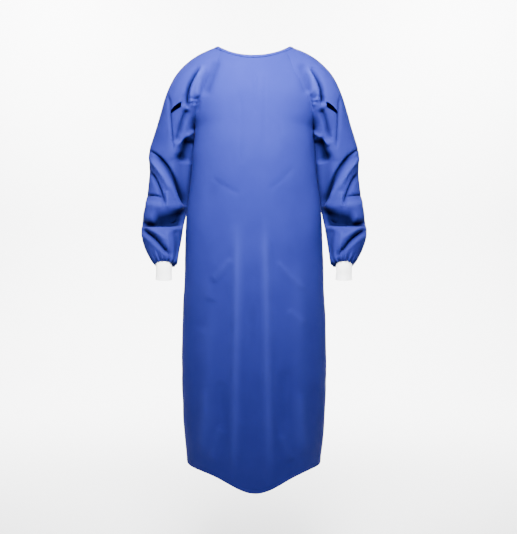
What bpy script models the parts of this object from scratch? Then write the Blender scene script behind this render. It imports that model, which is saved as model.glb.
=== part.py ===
"""Surgical gown with raglan sleeves and knitted cuffs, hollow, in the shape it has when it is worn.

Everything is in metres. The origin lies midway between the two points where the neckline crosses the
shoulders, +Z is up and the front of the gown faces -Y, so the wearer's left is at +X. The gown is worked
out as one smooth form, its main folds are pressed into it, and each sewn panel is cut out of it as a thin
wall with a narrow gap at every seam.
"""

from collections import namedtuple

import bmesh
import bpy
import numpy as np
from mathutils.bvhtree import BVHTree
from mathutils.kdtree import KDTree

# Cloth and seams
CLOTH = 0.0016
TRIM_CLOTH = 0.001
SEAM_GAP = 0.00036
TRIM_GAP = 0.0008
LAP = 0.0065
LAP_RAMP = np.radians(14)
SAME_POINT = 0.00002

# Neckline, one closed ring over the shoulders
NECK_HALF_WIDTH = 0.101
NECK_FRONT_DEPTH = 0.085
NECK_BACK_DEPTH = 0.074
NECK_FRONT_DROP = 0.045
NECK_BACK_DROP = 0.010
NECK_DROP_POWER = 1.5
NECK_FRONT_TURN = np.radians(60)
NECK_BACK_TURN = np.radians(130)
SHOULDER_TURN = np.radians(90)
BINDING_WIDTH = 0.0095
BINDING_STEP = 0.0004

# Levels on the side and raglan seams
UNDERARM = -0.235
SIDE_HEM = -1.157
FRONT_HEM_DROP = 0.048
HEM_TIP_SHARE = 0.335
HEM_TIP_ACROSS = 0.02
HEM_CURVE_START = -0.85
NECK_CURVE_END = -0.17
TOP_ROW = 0.0115
UNDERARM_CLOSER = 1.4

# Rows and columns of the panels
RAGLAN_ROWS = 10
SHOULDER_COLUMNS = 3
SIDE_ROWS = 20
FRONT_COLUMNS = 22
BACK_COLUMNS = 11
SHOULDER_ROWS = 8
ARM_ROWS = 25

BodySection = namedtuple("BodySection", "height half_width front_depth back_depth")
BODY_SECTIONS = [
    BodySection(0.000, 0.125, 0.045, 0.062),
    BodySection(-0.016, 0.137, 0.058, 0.078),
    BodySection(-0.045, 0.160, 0.086, 0.097),
    BodySection(-0.080, 0.180, 0.106, 0.111),
    BodySection(-0.120, 0.190, 0.120, 0.120),
    BodySection(-0.160, 0.187, 0.130, 0.126),
    BodySection(-0.200, 0.176, 0.136, 0.128),
    BodySection(-0.235, 0.165, 0.139, 0.128),
    BodySection(-0.300, 0.171, 0.142, 0.126),
    BodySection(-0.375, 0.177, 0.143, 0.122),
    BodySection(-0.500, 0.1905, 0.146, 0.124),
    BodySection(-0.655, 0.1950, 0.152, 0.130),
    BodySection(-0.800, 0.201, 0.160, 0.144),
    BodySection(-0.900, 0.202, 0.165, 0.150),
    BodySection(-1.050, 0.197, 0.169, 0.156),
    BodySection(-1.140, 0.188, 0.170, 0.158),
    BodySection(-1.210, 0.178, 0.168, 0.156),
]

# How far round the body, from its centre line, the sleeve seams run at each height
RaglanSeam = namedtuple("RaglanSeam", "height front_degrees back_degrees")
RAGLAN_SEAM = [
    RaglanSeam(0.000, 41, 38),
    RaglanSeam(-0.016, 40, 36),
    RaglanSeam(-0.035, 37, 34),
    RaglanSeam(-0.070, 36, 34),
    RaglanSeam(-0.115, 42, 40),
    RaglanSeam(-0.160, 51, 50),
    RaglanSeam(-0.200, 65, 64),
    RaglanSeam(-0.218, 76, 75),
    RaglanSeam(-0.235, 90, 90),
    RaglanSeam(-1.210, 90, 90),
]

# How far the back panels run past the centre back, at each height
BackLap = namedtuple("BackLap", "height over_degrees under_degrees")
BACK_LAP = [
    BackLap(0.000, 15, 15),
    BackLap(-0.100, 15, 17),
    BackLap(-0.400, 24, 26),
    BackLap(-0.800, 30, 32),
    BackLap(-1.210, 33, 36),
]

# Sleeve rings: the outer and inner points seen from the front, then the middle depth, half depth and tilt
SleeveSection = namedtuple(
    "SleeveSection", "reach outer_x outer_z inner_x inner_z middle_y half_depth tilt_degrees"
)
SLEEVE_SECTIONS = [
    SleeveSection(0.235, 0.2570, -0.165, 0.1720, -0.258, 0.012, 0.078, 0),
    SleeveSection(0.285, 0.2720, -0.213, 0.1735, -0.285, 0.022, 0.073, 0),
    SleeveSection(0.330, 0.2870, -0.255, 0.1745, -0.310, 0.030, 0.069, 0),
    SleeveSection(0.377, 0.2985, -0.300, 0.1765, -0.340, 0.035, 0.066, 0),
    SleeveSection(0.422, 0.2980, -0.345, 0.1805, -0.372, 0.037, 0.064, 0),
    SleeveSection(0.462, 0.3005, -0.385, 0.1840, -0.402, 0.038, 0.063, 2),
    SleeveSection(0.509, 0.3070, -0.432, 0.1880, -0.436, 0.036, 0.062, 8),
    SleeveSection(0.551, 0.3140, -0.474, 0.1930, -0.470, 0.026, 0.060, 18),
    SleeveSection(0.587, 0.3165, -0.510, 0.1980, -0.500, 0.010, 0.057, 23),
    SleeveSection(0.617, 0.3120, -0.540, 0.2010, -0.528, -0.008, 0.053, 25),
    SleeveSection(0.647, 0.3010, -0.568, 0.2040, -0.556, -0.024, 0.048, 25),
    SleeveSection(0.675, 0.2860, -0.592, 0.2080, -0.586, -0.038, 0.042, 24),
    SleeveSection(0.698, 0.2755, -0.604, 0.2140, -0.606, -0.046, 0.034, 23),
    SleeveSection(0.716, 0.2670, -0.611, 0.2230, -0.609, -0.050, 0.0235, 22),
]
ARM_START = SLEEVE_SECTIONS[0].reach
ARM_END = SLEEVE_SECTIONS[-1].reach
SHOULDER_CORE = np.array([0.08, 0.0, -0.15])
SHOULDER_BULGE = 0.50
SHOULDER_PULL = 1.36
ARMHOLE_LEAD = 0.62
TURN_EVEN_LENGTH = 0.30
ARRIVE_STEP = 0.01

# Gathers where the sleeve is drawn into its cuff, and the cuff
GATHERS = 13
GATHER_DEPTH = 0.0022
GATHER_LENGTH = 0.055
CUFF_HALF_WIDTH = 0.0222
CUFF_HALF_DEPTH = 0.0238
CUFF_LENGTH = 0.041
CUFF_RIBS = 30
CUFF_RIB_DEPTH = 0.0005
CUFF_WALL = 0.0018

# Folds, placed as they are seen by an eye level with the middle of the gown
EYE_DISTANCE = 2.3
EYE_HEIGHT = -0.616
RIGHT, LEFT = -1, 1
Fold = namedtuple(
    "Fold", "on view side start_across start_z bend_across bend_z end_across end_z depth width lip"
)
FOLDS = [
    Fold("gown", "front", RIGHT, 0.104, -0.030, 0.118, -0.080, 0.140, -0.140, 0.006, 0.014, 0.000),
    Fold("gown", "front", LEFT, 0.130, -0.036, 0.146, -0.085, 0.152, -0.135, 0.006, 0.014, 0.000),
    Fold("gown", "front", RIGHT, 0.152, -0.060, 0.198, -0.112, 0.186, -0.166, 0.010, 0.012, -0.003),
    Fold("gown", "front", LEFT, 0.162, -0.066, 0.202, -0.108, 0.190, -0.158, 0.010, 0.012, -0.003),
    Fold("gown", "front", RIGHT, 0.184, -0.172, 0.202, -0.212, 0.221, -0.276, 0.009, 0.012, 0.000),
    Fold("gown", "front", LEFT, 0.186, -0.170, 0.202, -0.208, 0.215, -0.270, 0.009, 0.012, 0.000),
    Fold("sleeve", "front", RIGHT, 0.174, -0.256, 0.192, -0.280, 0.200, -0.328, 0.015, 0.014, 0.004),
    Fold("sleeve", "front", LEFT, 0.174, -0.256, 0.190, -0.280, 0.198, -0.328, 0.015, 0.014, 0.004),
    Fold("sleeve", "front", RIGHT, 0.300, -0.285, 0.232, -0.335, 0.180, -0.458, 0.014, 0.011, 0.006),
    Fold("sleeve", "front", LEFT, 0.300, -0.280, 0.236, -0.335, 0.182, -0.452, 0.014, 0.011, 0.006),
    Fold("sleeve", "front", RIGHT, 0.302, -0.350, 0.276, -0.375, 0.246, -0.452, 0.007, 0.010, 0.000),
    Fold("sleeve", "front", LEFT, 0.302, -0.356, 0.274, -0.385, 0.248, -0.450, 0.007, 0.010, 0.000),
    Fold("sleeve", "front", RIGHT, 0.322, -0.494, 0.250, -0.458, 0.184, -0.488, 0.020, 0.012, 0.005),
    Fold("sleeve", "front", LEFT, 0.322, -0.492, 0.250, -0.456, 0.184, -0.490, 0.020, 0.012, 0.005),
    Fold("sleeve", "front", RIGHT, 0.316, -0.508, 0.270, -0.536, 0.226, -0.588, 0.010, 0.010, 0.000),
    Fold("sleeve", "front", LEFT, 0.316, -0.510, 0.268, -0.534, 0.226, -0.590, 0.010, 0.010, 0.000),
    Fold("sleeve", "back", RIGHT, 0.300, -0.330, 0.240, -0.350, 0.190, -0.420, 0.010, 0.014, 0.004),
    Fold("sleeve", "back", LEFT, 0.296, -0.345, 0.240, -0.360, 0.190, -0.440, 0.010, 0.014, 0.004),
    Fold("sleeve", "back", RIGHT, 0.310, -0.520, 0.260, -0.500, 0.206, -0.515, 0.012, 0.014, 0.000),
    Fold("sleeve", "back", LEFT, 0.312, -0.510, 0.260, -0.496, 0.206, -0.520, 0.012, 0.014, 0.000),
    Fold("gown", "back", RIGHT, 0.128, -0.060, 0.166, -0.110, 0.178, -0.180, 0.007, 0.016, 0.000),
    Fold("gown", "back", LEFT, 0.132, -0.055, 0.170, -0.115, 0.176, -0.175, 0.007, 0.016, 0.000),
    Fold("body", "front", RIGHT, 0.046, -0.480, 0.044, -0.850, 0.062, -1.230, -0.005, 0.020, 0.000),
    Fold("body", "front", LEFT, 0.032, -0.460, 0.034, -0.850, 0.058, -1.230, -0.005, 0.020, 0.000),
    Fold("body", "front", RIGHT, 0.130, -0.620, 0.126, -0.900, 0.136, -1.230, -0.003, 0.024, 0.000),
    Fold("body", "front", LEFT, 0.126, -0.560, 0.132, -0.900, 0.128, -1.230, -0.003, 0.024, 0.000),
    Fold("body", "back", RIGHT, 0.130, -0.560, 0.120, -0.900, 0.142, -1.230, -0.008, 0.026, 0.000),
    Fold("body", "back", LEFT, 0.118, -0.600, 0.126, -0.900, 0.120, -1.230, -0.009, 0.026, 0.000),
    Fold("body", "back", RIGHT, 0.060, -0.680, 0.076, -0.900, 0.082, -1.230, 0.007, 0.024, 0.000),
    Fold("body", "back", LEFT, 0.138, -0.310, 0.120, -0.420, 0.130, -0.600, 0.006, 0.022, 0.000),
    Fold("body", "back", RIGHT, 0.136, -0.320, 0.124, -0.420, 0.128, -0.600, 0.006, 0.022, 0.000),
]
FOLD_STEPS = 14
FOLD_END_SHARE = 0.18
FACING_EDGE = 0.1
FACING_RANGE = 0.5
SLEEVE_FOLD_START = 0.10
SLEEVE_FOLD_END = 0.035

# The slit on the front of each upper sleeve, as its corners from the inner end round
SLIT_CORNERS = [(0.1965, -0.1700), (0.2140, -0.1785), (0.2290, -0.1915), (0.2255, -0.2000), (0.2015, -0.1865)]
SLIT_FRONT = -0.20
SLIT_BACK = 0.0

# Closures at the back: a tab across the neck opening, and two waist ties knotted at the centre
TAB_START = np.radians(7)
TAB_END = np.radians(-32)
TAB_TOP = -0.0235
TAB_WIDTH = 0.024
TAB_COLUMNS = 14
TIE_LEVEL = -0.648
TIE_WIDTH = 0.024
TIE_SEWN = np.radians(66)
TIE_COLUMNS = 20
TIE_CLEAR = 0.0007
TIE_END_GAP = 0.0009
KNOT_SIZE = (0.032, 0.013, 0.028)
KNOT_ROUND = 0.0045
KNOT_RISE = 0.0035
KNOT_NEAR = 0.022
KNOT_ROUND_STEPS = 2
TieEnd = namedtuple("TieEnd", "name start_x end_x length")
TIE_ENDS = [TieEnd("tie_end_left", 0.0078, 0.036, 0.25), TieEnd("tie_end_right", -0.0078, -0.027, 0.28)]
TIE_END_WIDTH = 0.0138
TIE_END_SPREAD = 0.05
TIE_END_ROWS = 14
TIE_END_COLUMNS = 4
NORMAL_STEP = 0.001
PROBE_HEIGHT = 0.04

Finish = namedtuple("Finish", "colour roughness")
BLUE_CLOTH = Finish((0.045, 0.095, 0.52, 1), 0.62)
BLUE_TRIM = Finish((0.040, 0.085, 0.48, 1), 0.66)
WHITE_KNIT = Finish((0.86, 0.86, 0.85, 1), 0.85)


def column(table, name, at):
    """A table's named column where its first column is `at`: smooth, and never past its own rows."""
    rows = sorted(table)
    place = np.array([row[0] for row in rows])
    value = np.array([getattr(row, name) for row in rows])
    rise = np.diff(value) / np.diff(place)
    even = 2 * rise[:-1] * rise[1:] / np.where(rise[:-1] * rise[1:] > 0, rise[:-1] + rise[1:], 1)
    slope = np.concatenate([rise[:1], np.where(rise[:-1] * rise[1:] > 0, even, 0), rise[-1:]])
    at = np.clip(at, place[0], place[-1])
    i = np.clip(np.searchsorted(place, at) - 1, 0, len(place) - 2)
    step = place[i + 1] - place[i]
    t = (at - place[i]) / step
    start = (2 * t**3 - 3 * t**2 + 1) * value[i] + (t**3 - 2 * t**2 + t) * step * slope[i]
    end = (3 * t**2 - 2 * t**3) * value[i + 1] + (t**3 - t**2) * step * slope[i + 1]
    return start + end


def ease(t):
    """Rises smoothly from 0 to 1 as t does."""
    t = np.clip(t, 0, 1)
    return t * t * (3 - 2 * t)


def unit(vectors):
    """The vectors at length 1."""
    return vectors / np.maximum(np.linalg.norm(vectors, axis=-1, keepdims=True), 1e-12)


def body_form(turn, height):
    """The body's smooth form, `turn` radians round from the centre front."""
    half_width = column(BODY_SECTIONS, "half_width", height)
    front = column(BODY_SECTIONS, "front_depth", height)
    back = column(BODY_SECTIONS, "back_depth", height)
    depth = np.where(np.cos(turn) > 0, front, back)
    return np.stack([half_width * np.sin(turn), -depth * np.cos(turn), height + 0 * turn], -1)


def neck_ring(turn):
    """The neckline, `turn` radians round from the centre front."""
    c = np.cos(turn)
    depth = np.where(c > 0, NECK_FRONT_DEPTH, NECK_BACK_DEPTH)
    drop = np.where(c > 0, NECK_FRONT_DROP, NECK_BACK_DROP)
    height = -drop * np.abs(c) ** NECK_DROP_POWER
    return np.stack([NECK_HALF_WIDTH * np.sin(turn), -depth * c, height], -1)


FRONT_NECK_SEAM = float(neck_ring(NECK_FRONT_TURN)[2])
BACK_NECK_SEAM = float(neck_ring(NECK_BACK_TURN)[2])


def near_neck(level, top):
    """1 at the neckline, falling to 0 where the neck no longer shapes the body."""
    return np.clip((level - NECK_CURVE_END) / (top - NECK_CURVE_END), 0, 1) ** 2


def front_form(across, level):
    """The front's form: across from -1 to 1 between its seams, level as measured on those seams."""
    across, level = np.broadcast_arrays(across, level)
    neck = neck_ring(across * NECK_FRONT_TURN)
    dip = neck[..., 2] - FRONT_NECK_SEAM
    curve = near_neck(level, FRONT_NECK_SEAM)
    sag = ease((HEM_CURVE_START - level) / (HEM_CURVE_START - SIDE_HEM))
    tip = np.exp(-(((across - HEM_TIP_ACROSS) / HEM_TIP_SHARE) ** 2)) * (1 - across**2)
    seam = np.radians(column(RAGLAN_SEAM, "front_degrees", level))
    point = body_form(across * seam, level + dip * curve - FRONT_HEM_DROP * tip * sag)
    top_seam = np.radians(column(RAGLAN_SEAM, "front_degrees", FRONT_NECK_SEAM))
    top = body_form(across * top_seam, FRONT_NECK_SEAM + dip)
    return point + (neck - top) * curve[..., None]


def back_form(across, level):
    """The back's form: across from 1 at the wearer's left seam, through 0 at the centre back."""
    across, level = np.broadcast_arrays(across, level)
    neck = neck_ring(np.pi - across * (np.pi - NECK_BACK_TURN))
    dip = neck[..., 2] - BACK_NECK_SEAM
    curve = near_neck(level, BACK_NECK_SEAM)
    seam = np.radians(column(RAGLAN_SEAM, "back_degrees", level))
    point = body_form(np.pi - across * seam, level + dip * curve)
    top_seam = np.radians(column(RAGLAN_SEAM, "back_degrees", BACK_NECK_SEAM))
    top = body_form(np.pi - across * top_seam, BACK_NECK_SEAM + dip)
    return point + (neck - top) * curve[..., None]


def arm_form(turn, reach):
    """The sleeve below the shoulder: turn 0 is its outer side, a quarter turn its front."""
    value = {name: column(SLEEVE_SECTIONS, name, reach) for name in SleeveSection._fields[1:]}
    tilt = np.radians(value["tilt_degrees"])
    across_x = (value["outer_x"] - value["inner_x"]) / 2 * np.cos(turn)
    across_z = (value["outer_z"] - value["inner_z"]) / 2 * np.cos(turn)
    depth = value["half_depth"] * np.sin(turn)
    gather = ease((reach - ARM_END + GATHER_LENGTH) / GATHER_LENGTH) * GATHER_DEPTH
    swell = 1 + gather * np.cos(GATHERS * turn) / value["half_depth"]
    x = (value["outer_x"] + value["inner_x"]) / 2 + across_x * swell
    y = value["middle_y"] - depth * swell * np.cos(tilt)
    z = (value["outer_z"] + value["inner_z"]) / 2 + (across_z + depth * np.sin(tilt)) * swell
    return np.stack([x, y, z], -1)


def seam_levels(top, rows):
    """Heights from the underarm up to the last row below the neckline, and the neckline's own."""
    lower = UNDERARM + (top - TOP_ROW - UNDERARM) * np.linspace(0, 1, rows) ** UNDERARM_CLOSER
    return np.append(lower, top)


def armhole(side):
    """The left armhole's front or back half, from the underarm up the seam and along the neckline."""
    if side == "front":
        seam = front_form(np.array(1.0), seam_levels(FRONT_NECK_SEAM, RAGLAN_ROWS))
        turns = np.linspace(NECK_FRONT_TURN, SHOULDER_TURN, SHOULDER_COLUMNS + 1)
    else:
        seam = back_form(np.array(1.0), seam_levels(BACK_NECK_SEAM, RAGLAN_ROWS))
        turns = np.linspace(NECK_BACK_TURN, SHOULDER_TURN, SHOULDER_COLUMNS + 1)
    return np.concatenate([seam, neck_ring(turns)[1:]])


def sleeve_turns(share, reach):
    """How far round the sleeve its columns lie: crowded towards the underarm at the top, even lower down."""
    even = ease((reach - ARM_START) / TURN_EVEN_LENGTH)
    return np.pi * (1 - (1 - even) * share**ARMHOLE_LEAD - even * share)


def sleeve_form(side, reaches):
    """The left sleeve's front or back half: a row for each reach, a column for each armhole point."""
    start = armhole(side)
    way = 1 if side == "front" else -1
    share = np.linspace(0, 1, len(start))
    turns = way * sleeve_turns(share, ARM_START)
    end = arm_form(turns, ARM_START)
    chord = end - start
    size = np.linalg.norm(chord, axis=1, keepdims=True)
    bulge = SHOULDER_BULGE * size * (1 + np.cos(turns[:, None])) / 2
    leave = (chord + bulge * unit(start - SHOULDER_CORE)) * SHOULDER_PULL
    arrive = unit(arm_form(turns, ARM_START + ARRIVE_STEP) - end) * size * SHOULDER_PULL
    rows = []
    for reach in reaches:
        if reach >= ARM_START:
            rows.append(arm_form(way * sleeve_turns(share, reach), reach))
            continue
        t = reach / ARM_START
        first = (2 * t**3 - 3 * t**2 + 1) * start + (t**3 - 2 * t**2 + t) * leave
        rows.append(first + (3 * t**2 - 2 * t**3) * end + (t**3 - t**2) * arrive)
    return np.array(rows)


def back_lift(turn, level):
    """How far the over-lapping back panel stands off, `turn` round from the centre back."""
    under = np.radians(column(BACK_LAP, "under_degrees", level))
    wide = column(BODY_SECTIONS, "half_width", level) / column(BODY_SECTIONS, "back_depth", level)
    under = np.arctan(np.tan(under) * wide)
    return LAP * ease((under + LAP_RAMP - turn) / LAP_RAMP)


def curve_points(fold):
    """The fold's line as points across and up."""
    t = np.linspace(0, 1, FOLD_STEPS + 1)[:, None]
    start = np.array([fold.start_across, fold.start_z])
    bend = np.array([fold.bend_across, fold.bend_z])
    end = np.array([fold.end_across, fold.end_z])
    return (1 - t) ** 2 * start + 2 * t * (1 - t) * bend + t**2 * end


def along_line(place, line):
    """Each place's signed distance from the line, and how far along the line it lies, from 0 to 1."""
    best = np.full(len(place), np.inf)
    signed, share = np.zeros(len(place)), np.zeros(len(place))
    for i, (first, second) in enumerate(zip(line, line[1:])):
        way = second - first
        off = place - first
        t = np.clip(off @ way / (way @ way), 0, 1)
        away = off - t[:, None] * way
        distance = np.linalg.norm(away, axis=1)
        nearer = distance < best
        best = np.where(nearer, distance, best)
        turn = np.sign(way[0] * off[:, 1] - way[1] * off[:, 0])
        signed = np.where(nearer, distance * turn, signed)
        share = np.where(nearer, (i + t) / (len(line) - 1), share)
    return signed, share


def relief(points, normals, on, kept):
    """How far the folds move each point out along its normal; a sleeve's own folds count for `kept`."""
    flat, facing = points.reshape(-1, 3), normals.reshape(-1, 3)
    near = EYE_DISTANCE / (EYE_DISTANCE + flat[:, 1])
    total = np.zeros(len(flat))
    for fold in FOLDS:
        if fold.on not in ("gown", on):
            continue
        if fold.view == "front":
            seen_z = EYE_HEIGHT + (flat[:, 2] - EYE_HEIGHT) * near
            place = np.stack([fold.side * flat[:, 0] * near, seen_z], 1)
            front = -facing[:, 1]
        else:
            place = np.stack([fold.side * flat[:, 0], flat[:, 2]], 1)
            front = facing[:, 1]
        away, share = along_line(place, curve_points(fold))
        ends = ease(share / FOLD_END_SHARE) * ease((1 - share) / FOLD_END_SHARE)
        trough = fold.depth * np.exp(-((away / fold.width) ** 2))
        side = np.sign(fold.lip)
        lip = abs(fold.lip) * np.exp(-(((away - side * 2 * fold.width) / fold.width) ** 2))
        weight = ease((front + FACING_EDGE) / FACING_RANGE) * ends
        if fold.on == "sleeve":
            weight = weight * kept.ravel()
        total += weight * (lip - trough)
    return total.reshape(points.shape[:-1])


def grid_normals(grid):
    """Outward normals at a grid's points, whose rows lead down and columns to the wearer's left."""
    return unit(np.cross(np.gradient(grid, axis=0), np.gradient(grid, axis=1)))


def shared_normals(grids):
    """Every panel's outward normals, averaged where panels meet."""
    own = {name: grid_normals(grid) for name, grid in grids.items()}
    places = np.concatenate([grid.reshape(-1, 3) for grid in grids.values()])
    normals = np.concatenate([own[name].reshape(-1, 3) for name in grids])
    tree = KDTree(len(places))
    for index, place in enumerate(places):
        tree.insert(place, index)
    tree.balance()
    shared = {}
    for name, grid in grids.items():
        shared[name] = own[name].copy()
        on_edge = np.ones(grid.shape[:2], bool)
        on_edge[1:-1, 1:-1] = False
        for row, col in zip(*np.nonzero(on_edge)):
            found = tree.find_range(grid[row, col], SAME_POINT)
            shared[name][row, col] = unit(sum(normals[index] for _, index, _ in found))
    return shared


def sleeve_reaches():
    """How far down the sleeve each of its rows lies."""
    shoulder = np.linspace(0, ARM_START, SHOULDER_ROWS + 1)
    return np.append(shoulder, np.linspace(ARM_START, ARM_END, ARM_ROWS)[1:])


def smooth_panels():
    """Every panel's smooth grid of rows and columns, and the share of a sleeve's folds kept on each."""
    front_levels = np.append(
        seam_levels(FRONT_NECK_SEAM, RAGLAN_ROWS)[::-1], np.linspace(UNDERARM, SIDE_HEM, SIDE_ROWS)[1:]
    )
    back_levels = np.append(
        seam_levels(BACK_NECK_SEAM, RAGLAN_ROWS)[::-1], np.linspace(UNDERARM, SIDE_HEM, SIDE_ROWS)[1:]
    )
    across = np.linspace(-1, 1, FRONT_COLUMNS + 1)
    grids = {"front_panel": front_form(across[None, :], front_levels[:, None])}
    seam = np.radians(column(RAGLAN_SEAM, "back_degrees", back_levels))
    share = np.linspace(0, 1, BACK_COLUMNS + 1)
    over = -np.radians(column(BACK_LAP, "over_degrees", back_levels)) / seam
    place = over[:, None] + (1 - over[:, None]) * share
    grids["back_panel_left"] = back_form(place, back_levels[:, None])[:, ::-1]
    under = -np.radians(column(BACK_LAP, "under_degrees", back_levels)) / seam
    place = under[:, None] + (1 - under[:, None]) * share
    grids["back_panel_right"] = back_form(-place, back_levels[:, None])
    reaches = sleeve_reaches()
    for side in ("front", "back"):
        grid = sleeve_form(side, reaches)
        grid = grid[:, ::-1] if side == "back" else grid
        grids["sleeve_" + side + "_left"] = grid
        grids["sleeve_" + side + "_right"] = grid[:, ::-1] * (-1, 1, 1)
    kept = ease(reaches / SLEEVE_FOLD_START) * ease((ARM_END - reaches) / SLEEVE_FOLD_END)
    return grids, kept


def folded_panels():
    """Every panel's grid with its folds, and with the over-lapping back panel standing off."""
    grids, sleeve_kept = smooth_panels()
    normals = shared_normals(grids)
    folded = {}
    for name, grid in grids.items():
        on = "sleeve" if name.startswith("sleeve") else "body"
        kept = np.ones(grid.shape[:2])
        if on == "sleeve":
            kept = kept * sleeve_kept[:, None]
        shift = relief(grid, normals[name], on, kept)
        if name == "back_panel_left":
            turn = np.arctan2(grid[..., 0], grid[..., 1])
            shift = shift + back_lift(turn, grid[..., 2])
        folded[name] = grid + normals[name] * shift[..., None]
    return folded


def drawn_in(grid, normals, gap):
    """The grid with each of its four edges moved in by half a seam's gap."""
    moved = grid.copy()
    for edge, inner in ((0, 1), (-1, -2)):
        for turned in (False, True):
            place = (slice(None), edge) if turned else (edge, slice(None))
            beside = (slice(None), inner) if turned else (inner, slice(None))
            along = np.gradient(grid[place], axis=0)
            way = unit(np.cross(along, normals[place]))
            inward = np.sign((way * (grid[beside] - grid[place])).sum())
            moved[place] += way * inward * gap / 2
    return moved


def solid(name, points, faces, finish):
    """A named object from points and faces, with its own material."""
    mesh = bpy.data.meshes.new(name)
    mesh.from_pydata(np.asarray(points).tolist(), [], [[int(i) for i in face] for face in faces])
    mesh.update()
    mesh.shade_smooth()
    obj = bpy.data.objects.new(name, mesh)
    bpy.context.scene.collection.objects.link(obj)
    material = bpy.data.materials.new(name)
    material.use_nodes = True
    shader = material.node_tree.nodes["Principled BSDF"]
    shader.inputs["Base Color"].default_value = finish.colour
    shader.inputs["Roughness"].default_value = finish.roughness
    shader.inputs["Metallic"].default_value = 0.0
    mesh.materials.append(material)
    return obj


def wall(name, outer, inner, finish):
    """A sheet's solid from its outer and inner grids, closed round the edge."""
    rows, columns = outer.shape[:2]
    count = rows * columns
    index = np.arange(count).reshape(rows, columns)
    a, b = index[:-1, :-1].ravel(), index[:-1, 1:].ravel()
    c, d = index[1:, 1:].ravel(), index[1:, :-1].ravel()
    faces = list(np.stack([a, d, c], 1)) + list(np.stack([a, c, b], 1))
    faces += list(np.stack([a, c, d], 1) + count) + list(np.stack([a, b, c], 1) + count)
    ring = np.concatenate([index[0, :-1], index[:-1, -1], index[-1, :0:-1], index[:0:-1, 0]])
    for first, second in zip(ring, np.roll(ring, -1)):
        faces.append([first, second, second + count, first + count])
    return solid(name, np.concatenate([outer.reshape(-1, 3), inner.reshape(-1, 3)]), faces, finish)


def tube(name, rings, finish):
    """A closed solid from rings of points that lead round a cross-section, the last joined to the first."""
    count, size = rings.shape[:2]
    index = np.arange(count * size).reshape(count, size)
    nxt = np.roll(index, -1, axis=0)
    faces = []
    for ring, after in zip(index, nxt):
        for first, second, third, fourth in zip(ring, np.roll(ring, -1), np.roll(after, -1), after):
            faces.append([first, second, third, fourth])
    return solid(name, rings.reshape(-1, 3), faces, finish)


def cut_slit(obj, side):
    """Cuts the upper sleeve's slit right through its front half."""
    corners = [(side * x, z) for x, z in SLIT_CORNERS]
    corners = corners if side < 0 else corners[::-1]
    mesh = bpy.data.meshes.new("slit_cutter")
    shape = bmesh.new()
    near = [shape.verts.new((x, SLIT_FRONT, z)) for x, z in corners]
    far = [shape.verts.new((x, SLIT_BACK, z)) for x, z in corners]
    shape.faces.new(near)
    shape.faces.new(far[::-1])
    for i, vertex in enumerate(near):
        j = (i + 1) % len(near)
        shape.faces.new((near[j], vertex, far[i], far[j]))
    bmesh.ops.recalc_face_normals(shape, faces=shape.faces[:])
    shape.to_mesh(mesh)
    shape.free()
    cutter = bpy.data.objects.new("slit_cutter_" + obj.name, mesh)
    bpy.context.scene.collection.objects.link(cutter)
    cutter.hide_render = True
    cutter.display_type = "WIRE"
    cut = obj.modifiers.new("slit", "BOOLEAN")
    cut.operation = "DIFFERENCE"
    cut.solver = "EXACT"
    cut.object = cutter


def build_cuff(side):
    """The ribbed knitted cuff that hangs on from the sleeve's end."""
    turns = np.linspace(0, 2 * np.pi, 2 * CUFF_RIBS, endpoint=False)
    edge = arm_form(np.array([0.0, np.pi / 2, np.pi, 3 * np.pi / 2]), ARM_END)
    middle = edge.mean(0)
    wide, deep = (edge[0] - edge[2]) / 2, (edge[1] - edge[3]) / 2
    wide, deep = unit(wide) * CUFF_HALF_WIDTH, unit(deep) * CUFF_HALF_DEPTH
    axis = unit(np.cross(wide, deep))
    axis = -axis if axis[2] > 0 else axis
    raised = CUFF_RIB_DEPTH * (np.arange(len(turns)) % 2)
    rings = []
    heights = [SEAM_GAP, CUFF_LENGTH / 2, CUFF_LENGTH]
    for turn, rib in zip(turns, raised):
        spoke = wide * np.cos(turn) + deep * np.sin(turn)
        outer = [middle + spoke + unit(spoke) * rib + axis * height for height in heights]
        inner = [middle + spoke - unit(spoke) * CUFF_WALL + axis * height for height in heights[::-2]]
        rings.append(outer + inner)
    rings = np.array(rings) * (side, 1, 1)
    rings = rings[:, ::-1] if side > 0 else rings
    tube("cuff_left" if side > 0 else "cuff_right", rings, WHITE_KNIT)


def neckline_stations(panels, normals):
    """Points, ways down and ways out along the neckline, from the over-lapping back edge round."""
    order = ["back_panel_left", "sleeve_back_left", "sleeve_front_left", "front_panel"]
    order += ["sleeve_front_right", "sleeve_back_right", "back_panel_right"]
    edges, downs, outs = [], [], []
    for name in order:
        edge, below = panels[name][0, ::-1], panels[name][1, ::-1]
        down, out = unit(below - edge), normals[name][0, ::-1]
        if name in ("sleeve_front_left", "sleeve_back_right"):
            kept = slice(0, SHOULDER_COLUMNS + 1)
        elif name.startswith("sleeve"):
            kept = slice(-SHOULDER_COLUMNS - 1, None)
        else:
            kept = slice(None)
        edge, down, out = edge[kept], down[kept], out[kept]
        edge = edge.copy()
        edge[0] += unit(edge[1] - edge[0]) * BINDING_STEP
        edge[-1] += unit(edge[-2] - edge[-1]) * BINDING_STEP
        edges.append(edge)
        downs.append(down)
        outs.append(unit(out - (out * down).sum(-1, keepdims=True) * down))
    return np.concatenate(edges), np.concatenate(downs), np.concatenate(outs)


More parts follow.
